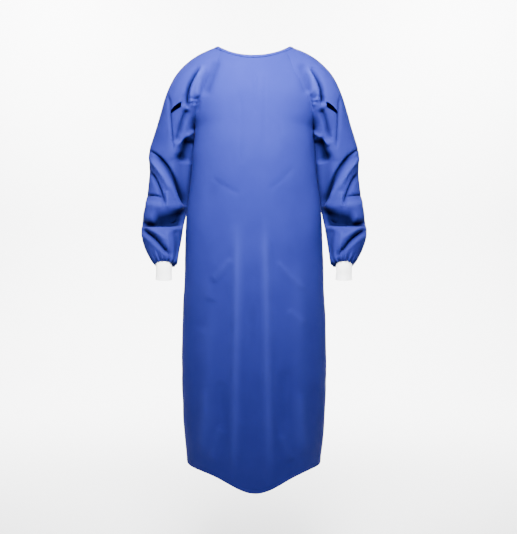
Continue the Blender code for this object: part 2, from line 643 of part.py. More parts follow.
def build_binding(panels, normals):
    """The narrow band folded over the neckline."""
    edge, down, out = neckline_stations(panels, normals)
    near, far = TRIM_GAP, TRIM_GAP + TRIM_CLOTH
    section = [(BINDING_WIDTH, near), (BINDING_WIDTH, far), (-far, far), (-far, -CLOTH - far)]
    section += [(BINDING_WIDTH, -CLOTH - far), (BINDING_WIDTH, -CLOTH - near), (-near, -CLOTH - near)]
    section += [(-near, near)]
    above = unit(np.cross(np.gradient(edge, axis=0), out))
    rings = []
    for below, off in section:
        way = down * below if below > 0 else above * -below
        rings.append(edge + way + out * off)
    rings = np.stack(rings, 1)
    count, size = rings.shape[:2]
    index = np.arange(count * size).reshape(count, size)
    faces = []
    for ring, after in zip(index, index[1:]):
        sides = zip(ring, np.roll(ring, -1), np.roll(after, -1), after)
        for place, (first, second, third, fourth) in enumerate(sides):
            if place in (3, 7):
                faces += [[first, second, fourth], [second, third, fourth]]
            else:
                faces += [[first, second, third], [first, third, fourth]]
    for a, b, c, d in ((0, 1, 2, 7), (7, 2, 3, 6), (6, 3, 4, 5)):
        faces.append([index[0, d], index[0, c], index[0, b], index[0, a]])
        faces.append([index[-1, a], index[-1, b], index[-1, c], index[-1, d]])
    solid("neck_binding", rings.reshape(-1, 3), faces, BLUE_TRIM)


def surface_tree(grids):
    """A search tree of the outer surfaces of the panels that trim lies on."""
    points, faces = [], []
    for grid in grids:
        rows, columns = grid.shape[:2]
        index = np.arange(rows * columns).reshape(rows, columns) + len(points)
        a, b, c, d = index[:-1, :-1], index[:-1, 1:], index[1:, 1:], index[1:, :-1]
        for corners in ((a, d, c), (a, c, b)):
            faces += np.stack(corners, -1).reshape(-1, 3).tolist()
        points += grid.reshape(-1, 3).tolist()
    return BVHTree.FromPolygons(points, faces)


def lying_on(tree, turn, level):
    """Points on the back panels' outer surface, `turn` round from the centre back, and their normals."""
    seam = np.radians(column(RAGLAN_SEAM, "back_degrees", level))
    point = back_form(turn / seam, level)
    along = back_form(turn / seam, level - NORMAL_STEP) - point
    across = back_form((turn - NORMAL_STEP) / seam, level) - point
    normal = unit(np.cross(along, across))
    height = np.zeros(turn.shape)
    for place in np.ndindex(turn.shape):
        probe = point[place] + normal[place] * PROBE_HEIGHT
        height[place] = PROBE_HEIGHT - tree.ray_cast(probe, -normal[place])[3]
    beside = np.pad(height, ((0, 0), (1, 1)), mode="edge")
    height = np.max([beside[:, :-2], height, beside[:, 2:]], axis=0)
    return point + normal * height[..., None], normal


def build_strip(name, tree, turn, level, clear):
    """A flat strip of trim that lies on the back."""
    point, normal = lying_on(tree, turn, level)
    inner = point + normal * clear[..., None]
    wall(name, inner + normal * TRIM_CLOTH, inner, BLUE_TRIM)


def build_closures(tree):
    """The neck tab, the two waist ties, their knot and its two hanging ends."""
    turn, level = np.meshgrid(
        np.linspace(TAB_START, TAB_END, TAB_COLUMNS), [TAB_TOP, TAB_TOP - TAB_WIDTH]
    )
    build_strip("neck_tab", tree, turn, level, np.full(turn.shape, TIE_CLEAR))
    half_width = float(column(BODY_SECTIONS, "half_width", TIE_LEVEL))
    knot_turn = np.arcsin((KNOT_SIZE[0] / 2 + SEAM_GAP) / half_width)
    rows = [TIE_LEVEL + TIE_WIDTH / 2, TIE_LEVEL - TIE_WIDTH / 2]
    for name, first, last in (
        ("waist_tie_left", TIE_SEWN, knot_turn),
        ("waist_tie_right", -knot_turn, -TIE_SEWN),
    ):
        turn, level = np.meshgrid(np.linspace(first, last, TIE_COLUMNS), rows)
        beside = half_width * np.abs(np.sin(turn)) - KNOT_SIZE[0] / 2
        clear = TIE_CLEAR + KNOT_RISE * ease(1 - beside / KNOT_NEAR)
        build_strip(name, tree, turn, level, clear)
    for end in TIE_ENDS:
        share = np.linspace(0, 1, TIE_END_ROWS)[:, None]
        top = TIE_LEVEL - KNOT_SIZE[2] / 2 - TIE_END_GAP
        level = np.repeat(top - share * end.length, TIE_END_COLUMNS, axis=1)
        wide = TIE_END_WIDTH + (TIE_WIDTH - TIE_END_WIDTH) * ease(share * end.length / TIE_END_SPREAD)
        across = np.linspace(1, -1, TIE_END_COLUMNS)
        x = end.start_x + (end.end_x - end.start_x) * share + wide / 2 * across
        turn = np.arcsin(x / column(BODY_SECTIONS, "half_width", level))
        clear = TIE_CLEAR + KNOT_RISE * ease(1 - (top - level) / KNOT_NEAR)
        build_strip(end.name, tree, turn, level, clear)
    build_knot(tree)


def build_knot(tree):
    """The flat knot of the waist ties."""
    wide, deep, high = KNOT_SIZE
    half_turn = np.arcsin(wide / 2 / float(column(BODY_SECTIONS, "half_width", TIE_LEVEL)))
    turn, level = np.meshgrid([-half_turn, 0, half_turn], [TIE_LEVEL + high / 2, TIE_LEVEL - high / 2])
    under = lying_on(tree, turn, level)[0]
    middle = (0, under[..., 1].max() + TIE_CLEAR + deep / 2, TIE_LEVEL)
    shape = bmesh.new()
    bmesh.ops.create_cube(shape, size=1)
    bmesh.ops.scale(shape, vec=KNOT_SIZE, verts=shape.verts)
    bmesh.ops.bevel(
        shape, geom=shape.edges[:], offset=KNOT_ROUND, segments=KNOT_ROUND_STEPS, profile=0.5, affect="EDGES"
    )
    bmesh.ops.translate(shape, vec=middle, verts=shape.verts)
    points = [tuple(vertex.co) for vertex in shape.verts]
    shape.verts.index_update()
    faces = [[vertex.index for vertex in face.verts] for face in shape.faces]
    shape.free()
    solid("waist_knot", points, faces, BLUE_TRIM)


def main():
    """Builds the gown, piece by piece."""
    for obj in list(bpy.data.objects):
        bpy.data.objects.remove(obj)
    panels = folded_panels()
    normals = shared_normals(panels)
    backs = []
    for name, grid in panels.items():
        outer = drawn_in(grid, normals[name], SEAM_GAP)
        obj = wall(name, outer, outer - CLOTH * normals[name], BLUE_CLOTH)
        if name.startswith("back"):
            backs.append(outer)
        if name.startswith("sleeve_front"):
            cut_slit(obj, LEFT if name.endswith("left") else RIGHT)
    for side in (LEFT, RIGHT):
        build_cuff(side)
    build_binding(panels, normals)
    build_closures(surface_tree(backs))


main()
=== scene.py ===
"""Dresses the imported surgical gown: folded cloth, knitted cuffs, neck band, closures, studio light and camera.

Everything is in metres in the model's own frame. The origin lies midway between the two points where the
neckline crosses the shoulders, +Z is up, the gown's front faces -Y and the wearer's left is at +X. The cloth
follows the same smooth form as the solids, sampled more finely, with the small folds that the solids leave out.
"""

import logging
from dataclasses import dataclass
from enum import Enum
from typing import NamedTuple, Optional, Sequence, Union

import bmesh
import bpy
import numpy as np
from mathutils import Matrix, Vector, noise
from mathutils.bvhtree import BVHTree
from mathutils.kdtree import KDTree


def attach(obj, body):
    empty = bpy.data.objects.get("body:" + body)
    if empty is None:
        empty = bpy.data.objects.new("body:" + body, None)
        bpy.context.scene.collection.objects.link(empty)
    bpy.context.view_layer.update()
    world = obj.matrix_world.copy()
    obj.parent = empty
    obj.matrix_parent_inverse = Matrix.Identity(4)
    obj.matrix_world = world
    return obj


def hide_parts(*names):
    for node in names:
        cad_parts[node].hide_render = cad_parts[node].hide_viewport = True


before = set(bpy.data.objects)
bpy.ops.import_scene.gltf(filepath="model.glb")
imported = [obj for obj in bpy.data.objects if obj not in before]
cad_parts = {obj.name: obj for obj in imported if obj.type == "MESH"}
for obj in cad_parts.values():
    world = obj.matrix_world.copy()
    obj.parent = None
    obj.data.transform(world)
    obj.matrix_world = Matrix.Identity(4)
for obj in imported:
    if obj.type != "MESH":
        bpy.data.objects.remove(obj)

LOG = logging.getLogger("gown")
Place = tuple[float, float]
Colour = tuple[float, float, float, float]


class Side(Enum):
    """The wearer's sides, as the sign of X."""

    RIGHT = -1
    LEFT = 1

    @property
    def word(self) -> str:
        """The side's name as pieces carry it."""
        return self.name.lower()


class Half(Enum):
    """The front and back half of a sleeve, as the way that its columns turn."""

    FRONT = 1
    BACK = -1


class On(Enum):
    """What a fold is pressed into."""

    BODY = "body"
    SLEEVE = "sleeve"
    GOWN = "gown"


class View(Enum):
    """The side that a fold is placed from."""

    FRONT = -1
    BACK = 1


class BodySection(NamedTuple):
    """The body's half width and its depths at one height."""

    height: float
    half_width: float
    front_depth: float
    back_depth: float


class RaglanSeam(NamedTuple):
    """How far round the body the sleeve seams run at one height."""

    height: float
    front_degrees: float
    back_degrees: float


class BackLap(NamedTuple):
    """How far the back panels run past the centre back at one height."""

    height: float
    over_degrees: float
    under_degrees: float


class SleeveSection(NamedTuple):
    """One ring of the sleeve: its outer and inner points seen from the front, then its depth and tilt."""

    reach: float
    outer_x: float
    outer_z: float
    inner_x: float
    inner_z: float
    middle_y: float
    half_depth: float
    tilt_degrees: float


BODY_SECTIONS = (
    BodySection(0.000, 0.125, 0.045, 0.062),
    BodySection(-0.016, 0.137, 0.058, 0.078),
    BodySection(-0.045, 0.160, 0.086, 0.097),
    BodySection(-0.080, 0.180, 0.106, 0.111),
    BodySection(-0.120, 0.190, 0.120, 0.120),
    BodySection(-0.160, 0.187, 0.130, 0.126),
    BodySection(-0.200, 0.176, 0.136, 0.128),
    BodySection(-0.235, 0.165, 0.139, 0.128),
    BodySection(-0.300, 0.171, 0.142, 0.126),
    BodySection(-0.375, 0.177, 0.143, 0.122),
    BodySection(-0.500, 0.1905, 0.146, 0.124),
    BodySection(-0.655, 0.1950, 0.152, 0.130),
    BodySection(-0.800, 0.201, 0.160, 0.144),
    BodySection(-0.900, 0.202, 0.165, 0.150),
    BodySection(-1.050, 0.197, 0.169, 0.156),
    BodySection(-1.140, 0.188, 0.170, 0.158),
    BodySection(-1.210, 0.178, 0.168, 0.156),
)
RAGLAN_SEAM = (
    RaglanSeam(0.000, 41, 38),
    RaglanSeam(-0.016, 40, 36),
    RaglanSeam(-0.035, 37, 34),
    RaglanSeam(-0.070, 36, 34),
    RaglanSeam(-0.115, 42, 40),
    RaglanSeam(-0.160, 51, 50),
    RaglanSeam(-0.200, 65, 64),
    RaglanSeam(-0.218, 76, 75),
    RaglanSeam(-0.235, 90, 90),
    RaglanSeam(-1.210, 90, 90),
)
BACK_LAP = (
    BackLap(0.000, 15, 15),
    BackLap(-0.100, 15, 17),
    BackLap(-0.400, 24, 26),
    BackLap(-0.800, 30, 32),
    BackLap(-1.210, 33, 36),
)
SLEEVE_SECTIONS = (
    SleeveSection(0.235, 0.2570, -0.165, 0.1660, -0.256, 0.012, 0.078, 0),
    SleeveSection(0.285, 0.2720, -0.213, 0.1665, -0.285, 0.022, 0.073, 0),
    SleeveSection(0.330, 0.2870, -0.255, 0.1685, -0.310, 0.030, 0.069, 0),
    SleeveSection(0.377, 0.2985, -0.300, 0.1725, -0.340, 0.035, 0.066, 0),
    SleeveSection(0.422, 0.2980, -0.345, 0.1768, -0.372, 0.037, 0.064, 0),
    SleeveSection(0.462, 0.3005, -0.385, 0.1810, -0.402, 0.038, 0.063, 2),
    SleeveSection(0.509, 0.3070, -0.432, 0.1865, -0.436, 0.036, 0.062, 8),
    SleeveSection(0.551, 0.3140, -0.474, 0.1930, -0.470, 0.026, 0.060, 18),
    SleeveSection(0.587, 0.3165, -0.510, 0.1980, -0.500, 0.010, 0.057, 23),
    SleeveSection(0.617, 0.3120, -0.540, 0.2010, -0.528, -0.008, 0.053, 25),
    SleeveSection(0.647, 0.3010, -0.568, 0.2040, -0.556, -0.024, 0.048, 25),
    SleeveSection(0.675, 0.2860, -0.592, 0.2080, -0.586, -0.038, 0.042, 24),
    SleeveSection(0.698, 0.2755, -0.604, 0.2140, -0.606, -0.046, 0.034, 23),
    SleeveSection(0.716, 0.2670, -0.611, 0.2230, -0.609, -0.050, 0.0235, 22),
)


def column(table: Sequence[NamedTuple], name: str, at: np.ndarray) -> np.ndarray:
    """Reads a table's named column smoothly, and never past its own rows.

    Args:
        table: rows whose first column is the place.
        name: the column to read.
        at: the places to read it at.

    Returns:
        The column's value at each place.
    """
    rows = sorted(table)
    place = np.array([row[0] for row in rows])
    value = np.array([getattr(row, name) for row in rows])
    rise = np.diff(value) / np.diff(place)
    even = 2 * rise[:-1] * rise[1:] / np.where(rise[:-1] * rise[1:] > 0, rise[:-1] + rise[1:], 1)
    slope = np.concatenate([rise[:1], np.where(rise[:-1] * rise[1:] > 0, even, 0), rise[-1:]])
    at = np.clip(at, place[0], place[-1])
    i = np.clip(np.searchsorted(place, at) - 1, 0, len(place) - 2)
    step = place[i + 1] - place[i]
    t = (at - place[i]) / step
    start = (2 * t**3 - 3 * t**2 + 1) * value[i] + (t**3 - 2 * t**2 + t) * step * slope[i]
    end = (3 * t**2 - 2 * t**3) * value[i + 1] + (t**3 - t**2) * step * slope[i + 1]
    return start + end


def ease(t: np.ndarray) -> np.ndarray:
    """Rises smoothly from 0 to 1 as t does."""
    t = np.clip(t, 0, 1)
    return t * t * (3 - 2 * t)


def unit(vectors: np.ndarray) -> np.ndarray:
    """The vectors at length 1."""
    return vectors / np.maximum(np.linalg.norm(vectors, axis=-1, keepdims=True), 1e-12)


def arc(points: np.ndarray, axis: int) -> np.ndarray:
    """How far along its row or column each grid point lies, from the first.

    Args:
        points: a grid of points.
        axis: 0 to measure down the columns, 1 to measure along the rows.

    Returns:
        A length for each point.
    """
    step = np.linalg.norm(np.diff(points, axis=axis), axis=-1)
    zero = np.zeros_like(np.take(step, [0], axis=axis))
    return np.concatenate([zero, np.cumsum(step, axis=axis)], axis=axis)


@dataclass(frozen=True)
class GownForm:
    """The gown's smooth form, before any fold, in the solids' sizes with the sleeves a little nearer the body."""

    neck_half_width: float = 0.101
    neck_front_depth: float = 0.085
    neck_back_depth: float = 0.074
    neck_front_drop: float = 0.045
    neck_back_drop: float = 0.010
    neck_drop_power: float = 1.5
    neck_front_turn: float = np.radians(60)
    neck_back_turn: float = np.radians(130)
    shoulder_turn: float = np.radians(90)
    underarm: float = -0.235
    side_hem: float = -1.157
    front_hem_drop: float = 0.048
    hem_tip_share: float = 0.335
    hem_tip_across: float = 0.02
    hem_curve_start: float = -0.85
    neck_curve_end: float = -0.17
    top_row: float = 0.0115
    underarm_closer: float = 1.4
    seam_steps: int = 9
    shoulder_steps: int = 3
    shoulder_core: tuple[float, float, float] = (0.08, 0.0, -0.15)
    shoulder_bulge: float = 0.50
    shoulder_pull: float = 1.36
    armhole_lead: float = 0.62
    turn_even_length: float = 0.30
    arrive_step: float = 0.01
    gathers: int = 13
    gather_depth: float = 0.0033
    gather_length: float = 0.060
    lap: float = 0.0052
    lap_ramp: float = np.radians(14)

    @property
    def arm_start(self) -> float:
        """The reach where the sleeve's rings begin."""
        return SLEEVE_SECTIONS[0].reach

    @property
    def arm_end(self) -> float:
        """The reach where the sleeve ends at its cuff."""
        return SLEEVE_SECTIONS[-1].reach

    @property
    def front_top(self) -> float:
        """The height where the front's seams meet the neckline."""
        return float(self.neck(np.array(self.neck_front_turn))[2])

    @property
    def back_top(self) -> float:
        """The height where the back's seams meet the neckline."""
        return float(self.neck(np.array(self.neck_back_turn))[2])

    def body(self, turn: np.ndarray, height: np.ndarray) -> np.ndarray:
        """The body's smooth form.

        Args:
            turn: radians round from the centre front.
            height: height of each point.

        Returns:
            A point for each turn and height.
        """
        half_width = column(BODY_SECTIONS, "half_width", height)
        front = column(BODY_SECTIONS, "front_depth", height)
        back = column(BODY_SECTIONS, "back_depth", height)
        depth = np.where(np.cos(turn) > 0, front, back)
        return np.stack([half_width * np.sin(turn), -depth * np.cos(turn), height + 0 * turn], -1)

    def neck(self, turn: np.ndarray) -> np.ndarray:
        """Points of the neckline, `turn` radians round from the centre front."""
        c = np.cos(turn)
        depth = np.where(c > 0, self.neck_front_depth, self.neck_back_depth)
        drop = np.where(c > 0, self.neck_front_drop, self.neck_back_drop)
        height = -drop * np.abs(c) ** self.neck_drop_power
        return np.stack([self.neck_half_width * np.sin(turn), -depth * c, height], -1)

    def near_neck(self, level: np.ndarray, top: float) -> np.ndarray:
        """1 at the neckline, falling to 0 where the neck no longer shapes the body."""
        return np.clip((level - self.neck_curve_end) / (top - self.neck_curve_end), 0, 1) ** 2

    def front(self, across: np.ndarray, level: np.ndarray) -> np.ndarray:
        """The front's form.

        Args:
            across: from -1 to 1 between its seams.
            level: height as measured on those seams.

        Returns:
            A point for each place.
        """
        across, level = np.broadcast_arrays(across, level)
        neck = self.neck(across * self.neck_front_turn)
        dip = neck[..., 2] - self.front_top
        curve = self.near_neck(level, self.front_top)
        sag = ease((self.hem_curve_start - level) / (self.hem_curve_start - self.side_hem))
        tip = np.exp(-(((across - self.hem_tip_across) / self.hem_tip_share) ** 2)) * (1 - across**2)
        seam = np.radians(column(RAGLAN_SEAM, "front_degrees", level))
        point = self.body(across * seam, level + dip * curve - self.front_hem_drop * tip * sag)
        top_seam = np.radians(column(RAGLAN_SEAM, "front_degrees", np.array(self.front_top)))
        top = self.body(across * top_seam, self.front_top + dip)
        return point + (neck - top) * curve[..., None]

    def back(self, across: np.ndarray, level: np.ndarray) -> np.ndarray:
        """The back's form.

        Args:
            across: from 1 at the wearer's left seam, through 0 at the centre back.
            level: height as measured on the seams.

        Returns:
            A point for each place.
        """
        across, level = np.broadcast_arrays(across, level)
        neck = self.neck(np.pi - across * (np.pi - self.neck_back_turn))
        dip = neck[..., 2] - self.back_top
        curve = self.near_neck(level, self.back_top)
        seam = np.radians(column(RAGLAN_SEAM, "back_degrees", level))
        point = self.body(np.pi - across * seam, level + dip * curve)
        top_seam = np.radians(column(RAGLAN_SEAM, "back_degrees", np.array(self.back_top)))
        top = self.body(np.pi - across * top_seam, self.back_top + dip)
        return point + (neck - top) * curve[..., None]

    def arm(self, turn: np.ndarray, reach: float) -> np.ndarray:
        """The sleeve below the shoulder, with the gathers into its cuff.

        Args:
            turn: 0 on the outer side, a quarter turn on the front.
            reach: how far down the sleeve.

        Returns:
            A point for each turn.
        """
        value = {name: column(SLEEVE_SECTIONS, name, np.array(reach)) for name in SleeveSection._fields[1:]}
        tilt = np.radians(value["tilt_degrees"])
        across_x = (value["outer_x"] - value["inner_x"]) / 2 * np.cos(turn)
        across_z = (value["outer_z"] - value["inner_z"]) / 2 * np.cos(turn)
        depth = value["half_depth"] * np.sin(turn)
        drawn = ease((reach - self.arm_end + self.gather_length) / self.gather_length) * self.gather_depth
        wave = np.cos(self.gathers * turn) + 0.45 * np.cos(2 * self.gathers * turn + 3 * turn + 1.2)
        swell = 1 + drawn * wave / value["half_depth"]
        x = (value["outer_x"] + value["inner_x"]) / 2 + across_x * swell
        y = value["middle_y"] - depth * swell * np.cos(tilt)
        z = (value["outer_z"] + value["inner_z"]) / 2 + (across_z + depth * np.sin(tilt)) * swell
        return np.stack([x, y, z], -1)

    def armhole_levels(self, top: float, steps: np.ndarray) -> np.ndarray:
        """Heights up a raglan seam, for steps counted from the underarm."""
        lower = self.underarm + (top - self.top_row - self.underarm) * (
            np.minimum(steps / self.seam_steps, 1) ** self.underarm_closer
        )
        return lower + self.top_row * np.clip(steps - self.seam_steps, 0, 1)

    def armhole(self, half: Half, steps: np.ndarray) -> np.ndarray:
        """The left armhole's edge from the underarm up its seam and along the neckline.

        Args:
            half: the front or the back edge.
            steps: places along it, counted from the underarm.

        Returns:
            A point for each step.
        """
        front = half is Half.FRONT
        top = self.front_top if front else self.back_top
        corner = self.neck_front_turn if front else self.neck_back_turn
        form = self.front if front else self.back
        seam = form(np.array(1.0), self.armhole_levels(top, steps))
        past = np.clip((steps - self.seam_steps - 1) / self.shoulder_steps, 0, 1)
        ring = self.neck(corner + (self.shoulder_turn - corner) * past)
        return np.where((steps > self.seam_steps + 1)[:, None], ring, seam)

    def sleeve_turns(self, share: np.ndarray, reach: float) -> np.ndarray:
        """How far round the sleeve its columns lie: crowded towards the underarm at the top."""
        even = ease((reach - self.arm_start) / self.turn_even_length)
        return np.pi * (1 - (1 - even) * share**self.armhole_lead - even * share)

    def sleeve(self, half: Half, steps: np.ndarray, reaches: np.ndarray) -> np.ndarray:
        """The left sleeve's front or back half.

        Args:
            half: which half.
            steps: places along the armhole, one for each column.
            reaches: how far down the sleeve, one for each row.

        Returns:
            A grid of points.
        """
        start = self.armhole(half, steps)
        way = half.value
        share = steps / (self.seam_steps + 1 + self.shoulder_steps)
        turns = way * self.sleeve_turns(share, self.arm_start)
        end = self.arm(turns, self.arm_start)
        chord = end - start
        size = np.linalg.norm(chord, axis=1, keepdims=True)
        bulge = self.shoulder_bulge * size * (1 + np.cos(turns[:, None])) / 2
        leave = (chord + bulge * unit(start - np.array(self.shoulder_core))) * self.shoulder_pull
        arrive = unit(self.arm(turns, self.arm_start + self.arrive_step) - end) * size * self.shoulder_pull
        rows = []
        for reach in reaches:
            if reach >= self.arm_start:
                rows.append(self.arm(way * self.sleeve_turns(share, reach), reach))
                continue
            t = reach / self.arm_start
            first = (2 * t**3 - 3 * t**2 + 1) * start + (t**3 - 2 * t**2 + t) * leave
            rows.append(first + (3 * t**2 - 2 * t**3) * end + (t**3 - t**2) * arrive)
        return np.array(rows)

    def lap_lift(self, turn: np.ndarray, level: np.ndarray) -> np.ndarray:
        """How far the over-lapping back panel stands off.

        Args:
            turn: radians round from the centre back.
            level: height of each point.

        Returns:
            A height for each point.
        """
        under = np.radians(column(BACK_LAP, "under_degrees", level))
        wide = column(BODY_SECTIONS, "half_width", level) / column(BODY_SECTIONS, "back_depth", level)
        under = np.arctan(np.tan(under) * wide)
        return self.lap * ease((under + self.lap_ramp - turn) / self.lap_ramp)


@dataclass(frozen=True)
class Fold:
    """One crease or ridge, placed across and up as it is seen.

    Attributes:
        on: what it is pressed into.
        view: the side that it is placed from.
        side: the wearer's side that it is on.
        start: where it starts, across and up.
        bend: the point that it bends towards.
        end: where it ends.
        depth: how deep it goes in, or below 0 how high it stands.
        width: half its width.
        lip: how high the cloth stands up beside it, on the left of its way, or below 0 on the right.
        sharp: 2 for a soft fold, towards 1 for a creased one.
        sag: how far the cloth above hangs down over it.
        fade: the share of its length over which each end runs out.
    """

    on: On
    view: View
    side: Side
    start: Place
    bend: Place
    end: Place
    depth: float
    width: float
    lip: float = 0.0
    sharp: float = 2.0
    sag: float = 0.0
    fade: float = 0.18

    def line(self, steps: int) -> np.ndarray:
        """Points along the fold.

        Args:
            steps: how many lengths it is divided into.

        Returns:
            The points, across and up.
        """
        t = np.linspace(0, 1, steps + 1)[:, None]
        start, bend, end = np.array(self.start), np.array(self.bend), np.array(self.end)
        return (1 - t) ** 2 * start + 2 * t * (1 - t) * bend + t**2 * end


G, B, S = On.GOWN, On.BODY, On.SLEEVE
FRONT, BACK = View.FRONT, View.BACK
R, L = Side.RIGHT, Side.LEFT

MAIN_FOLDS = (
    Fold(G, FRONT, R, (0.104, -0.030), (0.118, -0.080), (0.140, -0.140), 0.006, 0.014),
    Fold(G, FRONT, L, (0.130, -0.036), (0.146, -0.085), (0.152, -0.135), 0.006, 0.014),
    Fold(G, FRONT, R, (0.150, -0.050), (0.202, -0.112), (0.184, -0.174), 0.010, 0.0065, -0.005, 1.7),
    Fold(G, FRONT, L, (0.158, -0.056), (0.204, -0.108), (0.188, -0.166), 0.010, 0.0065, -0.005, 1.7),
    Fold(G, FRONT, R, (0.184, -0.172), (0.202, -0.212), (0.221, -0.276), 0.010, 0.009, 0.000, 1.7),
    Fold(G, FRONT, L, (0.186, -0.170), (0.202, -0.208), (0.215, -0.270), 0.010, 0.009, 0.000, 1.7),
    Fold(S, FRONT, R, (0.174, -0.256), (0.190, -0.280), (0.196, -0.328), 0.015, 0.017, 0.003),
    Fold(S, FRONT, L, (0.174, -0.256), (0.188, -0.280), (0.194, -0.328), 0.015, 0.017, 0.003),
    Fold(S, FRONT, R, (0.286, -0.300), (0.222, -0.350), (0.176, -0.470), 0.011, 0.008, 0.003, 1.7),
    Fold(S, FRONT, L, (0.286, -0.296), (0.226, -0.350), (0.178, -0.464), 0.011, 0.008, 0.003, 1.7),
    Fold(S, FRONT, R, (0.292, -0.350), (0.272, -0.375), (0.246, -0.452), 0.005, 0.006, 0.000, 1.6),
    Fold(S, FRONT, L, (0.292, -0.356), (0.270, -0.385), (0.248, -0.450), 0.005, 0.006, 0.000, 1.6),
    Fold(S, FRONT, R, (0.330, -0.498), (0.250, -0.474), (0.130, -0.500), 0.022, 0.011, 0.003, 1.8, 0.006),
    Fold(S, FRONT, L, (0.330, -0.496), (0.250, -0.472), (0.130, -0.500), 0.022, 0.011, 0.003, 1.8, 0.006),
    Fold(S, FRONT, R, (0.290, -0.480), (0.228, -0.464), (0.120, -0.470), 0.018, 0.014),
    Fold(S, FRONT, L, (0.290, -0.478), (0.228, -0.462), (0.120, -0.470), 0.018, 0.014),
    Fold(S, FRONT, R, (0.208, -0.290), (0.206, -0.360), (0.190, -0.450), 0.0065, 0.018),
    Fold(S, FRONT, L, (0.206, -0.285), (0.206, -0.360), (0.190, -0.446), 0.0065, 0.018),
    Fold(S, FRONT, R, (0.222, -0.506), (0.208, -0.545), (0.206, -0.600), 0.0060, 0.012),
    Fold(S, FRONT, L, (0.222, -0.506), (0.208, -0.545), (0.206, -0.600), 0.0060, 0.012),
    Fold(S, FRONT, R, (0.316, -0.508), (0.270, -0.536), (0.226, -0.588), 0.009, 0.007, 0.003, 1.6),
    Fold(S, FRONT, L, (0.316, -0.510), (0.268, -0.534), (0.226, -0.590), 0.009, 0.007, 0.003, 1.6),
    Fold(S, BACK, R, (0.300, -0.330), (0.240, -0.350), (0.190, -0.420), 0.010, 0.012, 0.004, 1.7),
    Fold(S, BACK, L, (0.296, -0.345), (0.240, -0.360), (0.190, -0.440), 0.010, 0.012, 0.004, 1.7),
    Fold(S, BACK, R, (0.310, -0.520), (0.260, -0.500), (0.206, -0.515), 0.012, 0.012, 0.000, 1.7),
    Fold(S, BACK, L, (0.312, -0.510), (0.260, -0.496), (0.206, -0.520), 0.012, 0.012, 0.000, 1.7),
    Fold(G, BACK, R, (0.128, -0.060), (0.166, -0.110), (0.178, -0.180), 0.007, 0.014),
    Fold(G, BACK, L, (0.132, -0.055), (0.170, -0.115), (0.176, -0.175), 0.007, 0.014),
    Fold(B, FRONT, R, (0.046, -0.480), (0.046, -0.850), (0.056, -1.230), -0.007, 0.013),
    Fold(B, FRONT, L, (0.032, -0.460), (0.034, -0.850), (0.048, -1.230), -0.007, 0.013),
    Fold(B, FRONT, R, (0.130, -0.620), (0.126, -0.900), (0.136, -1.230), -0.003, 0.022),
    Fold(B, FRONT, L, (0.126, -0.560), (0.132, -0.900), (0.128, -1.230), -0.003, 0.022),
    Fold(B, BACK, R, (0.130, -0.560), (0.120, -0.900), (0.142, -1.230), -0.008, 0.024),
    Fold(B, BACK, L, (0.118, -0.600), (0.126, -0.900), (0.120, -1.230), -0.009, 0.024),
    Fold(B, BACK, R, (0.060, -0.680), (0.076, -0.900), (0.082, -1.230), 0.007, 0.022),
    Fold(B, BACK, L, (0.138, -0.310), (0.120, -0.420), (0.130, -0.600), 0.006, 0.020),
    Fold(B, BACK, R, (0.136, -0.320), (0.124, -0.420), (0.128, -0.600), 0.006, 0.020),
)
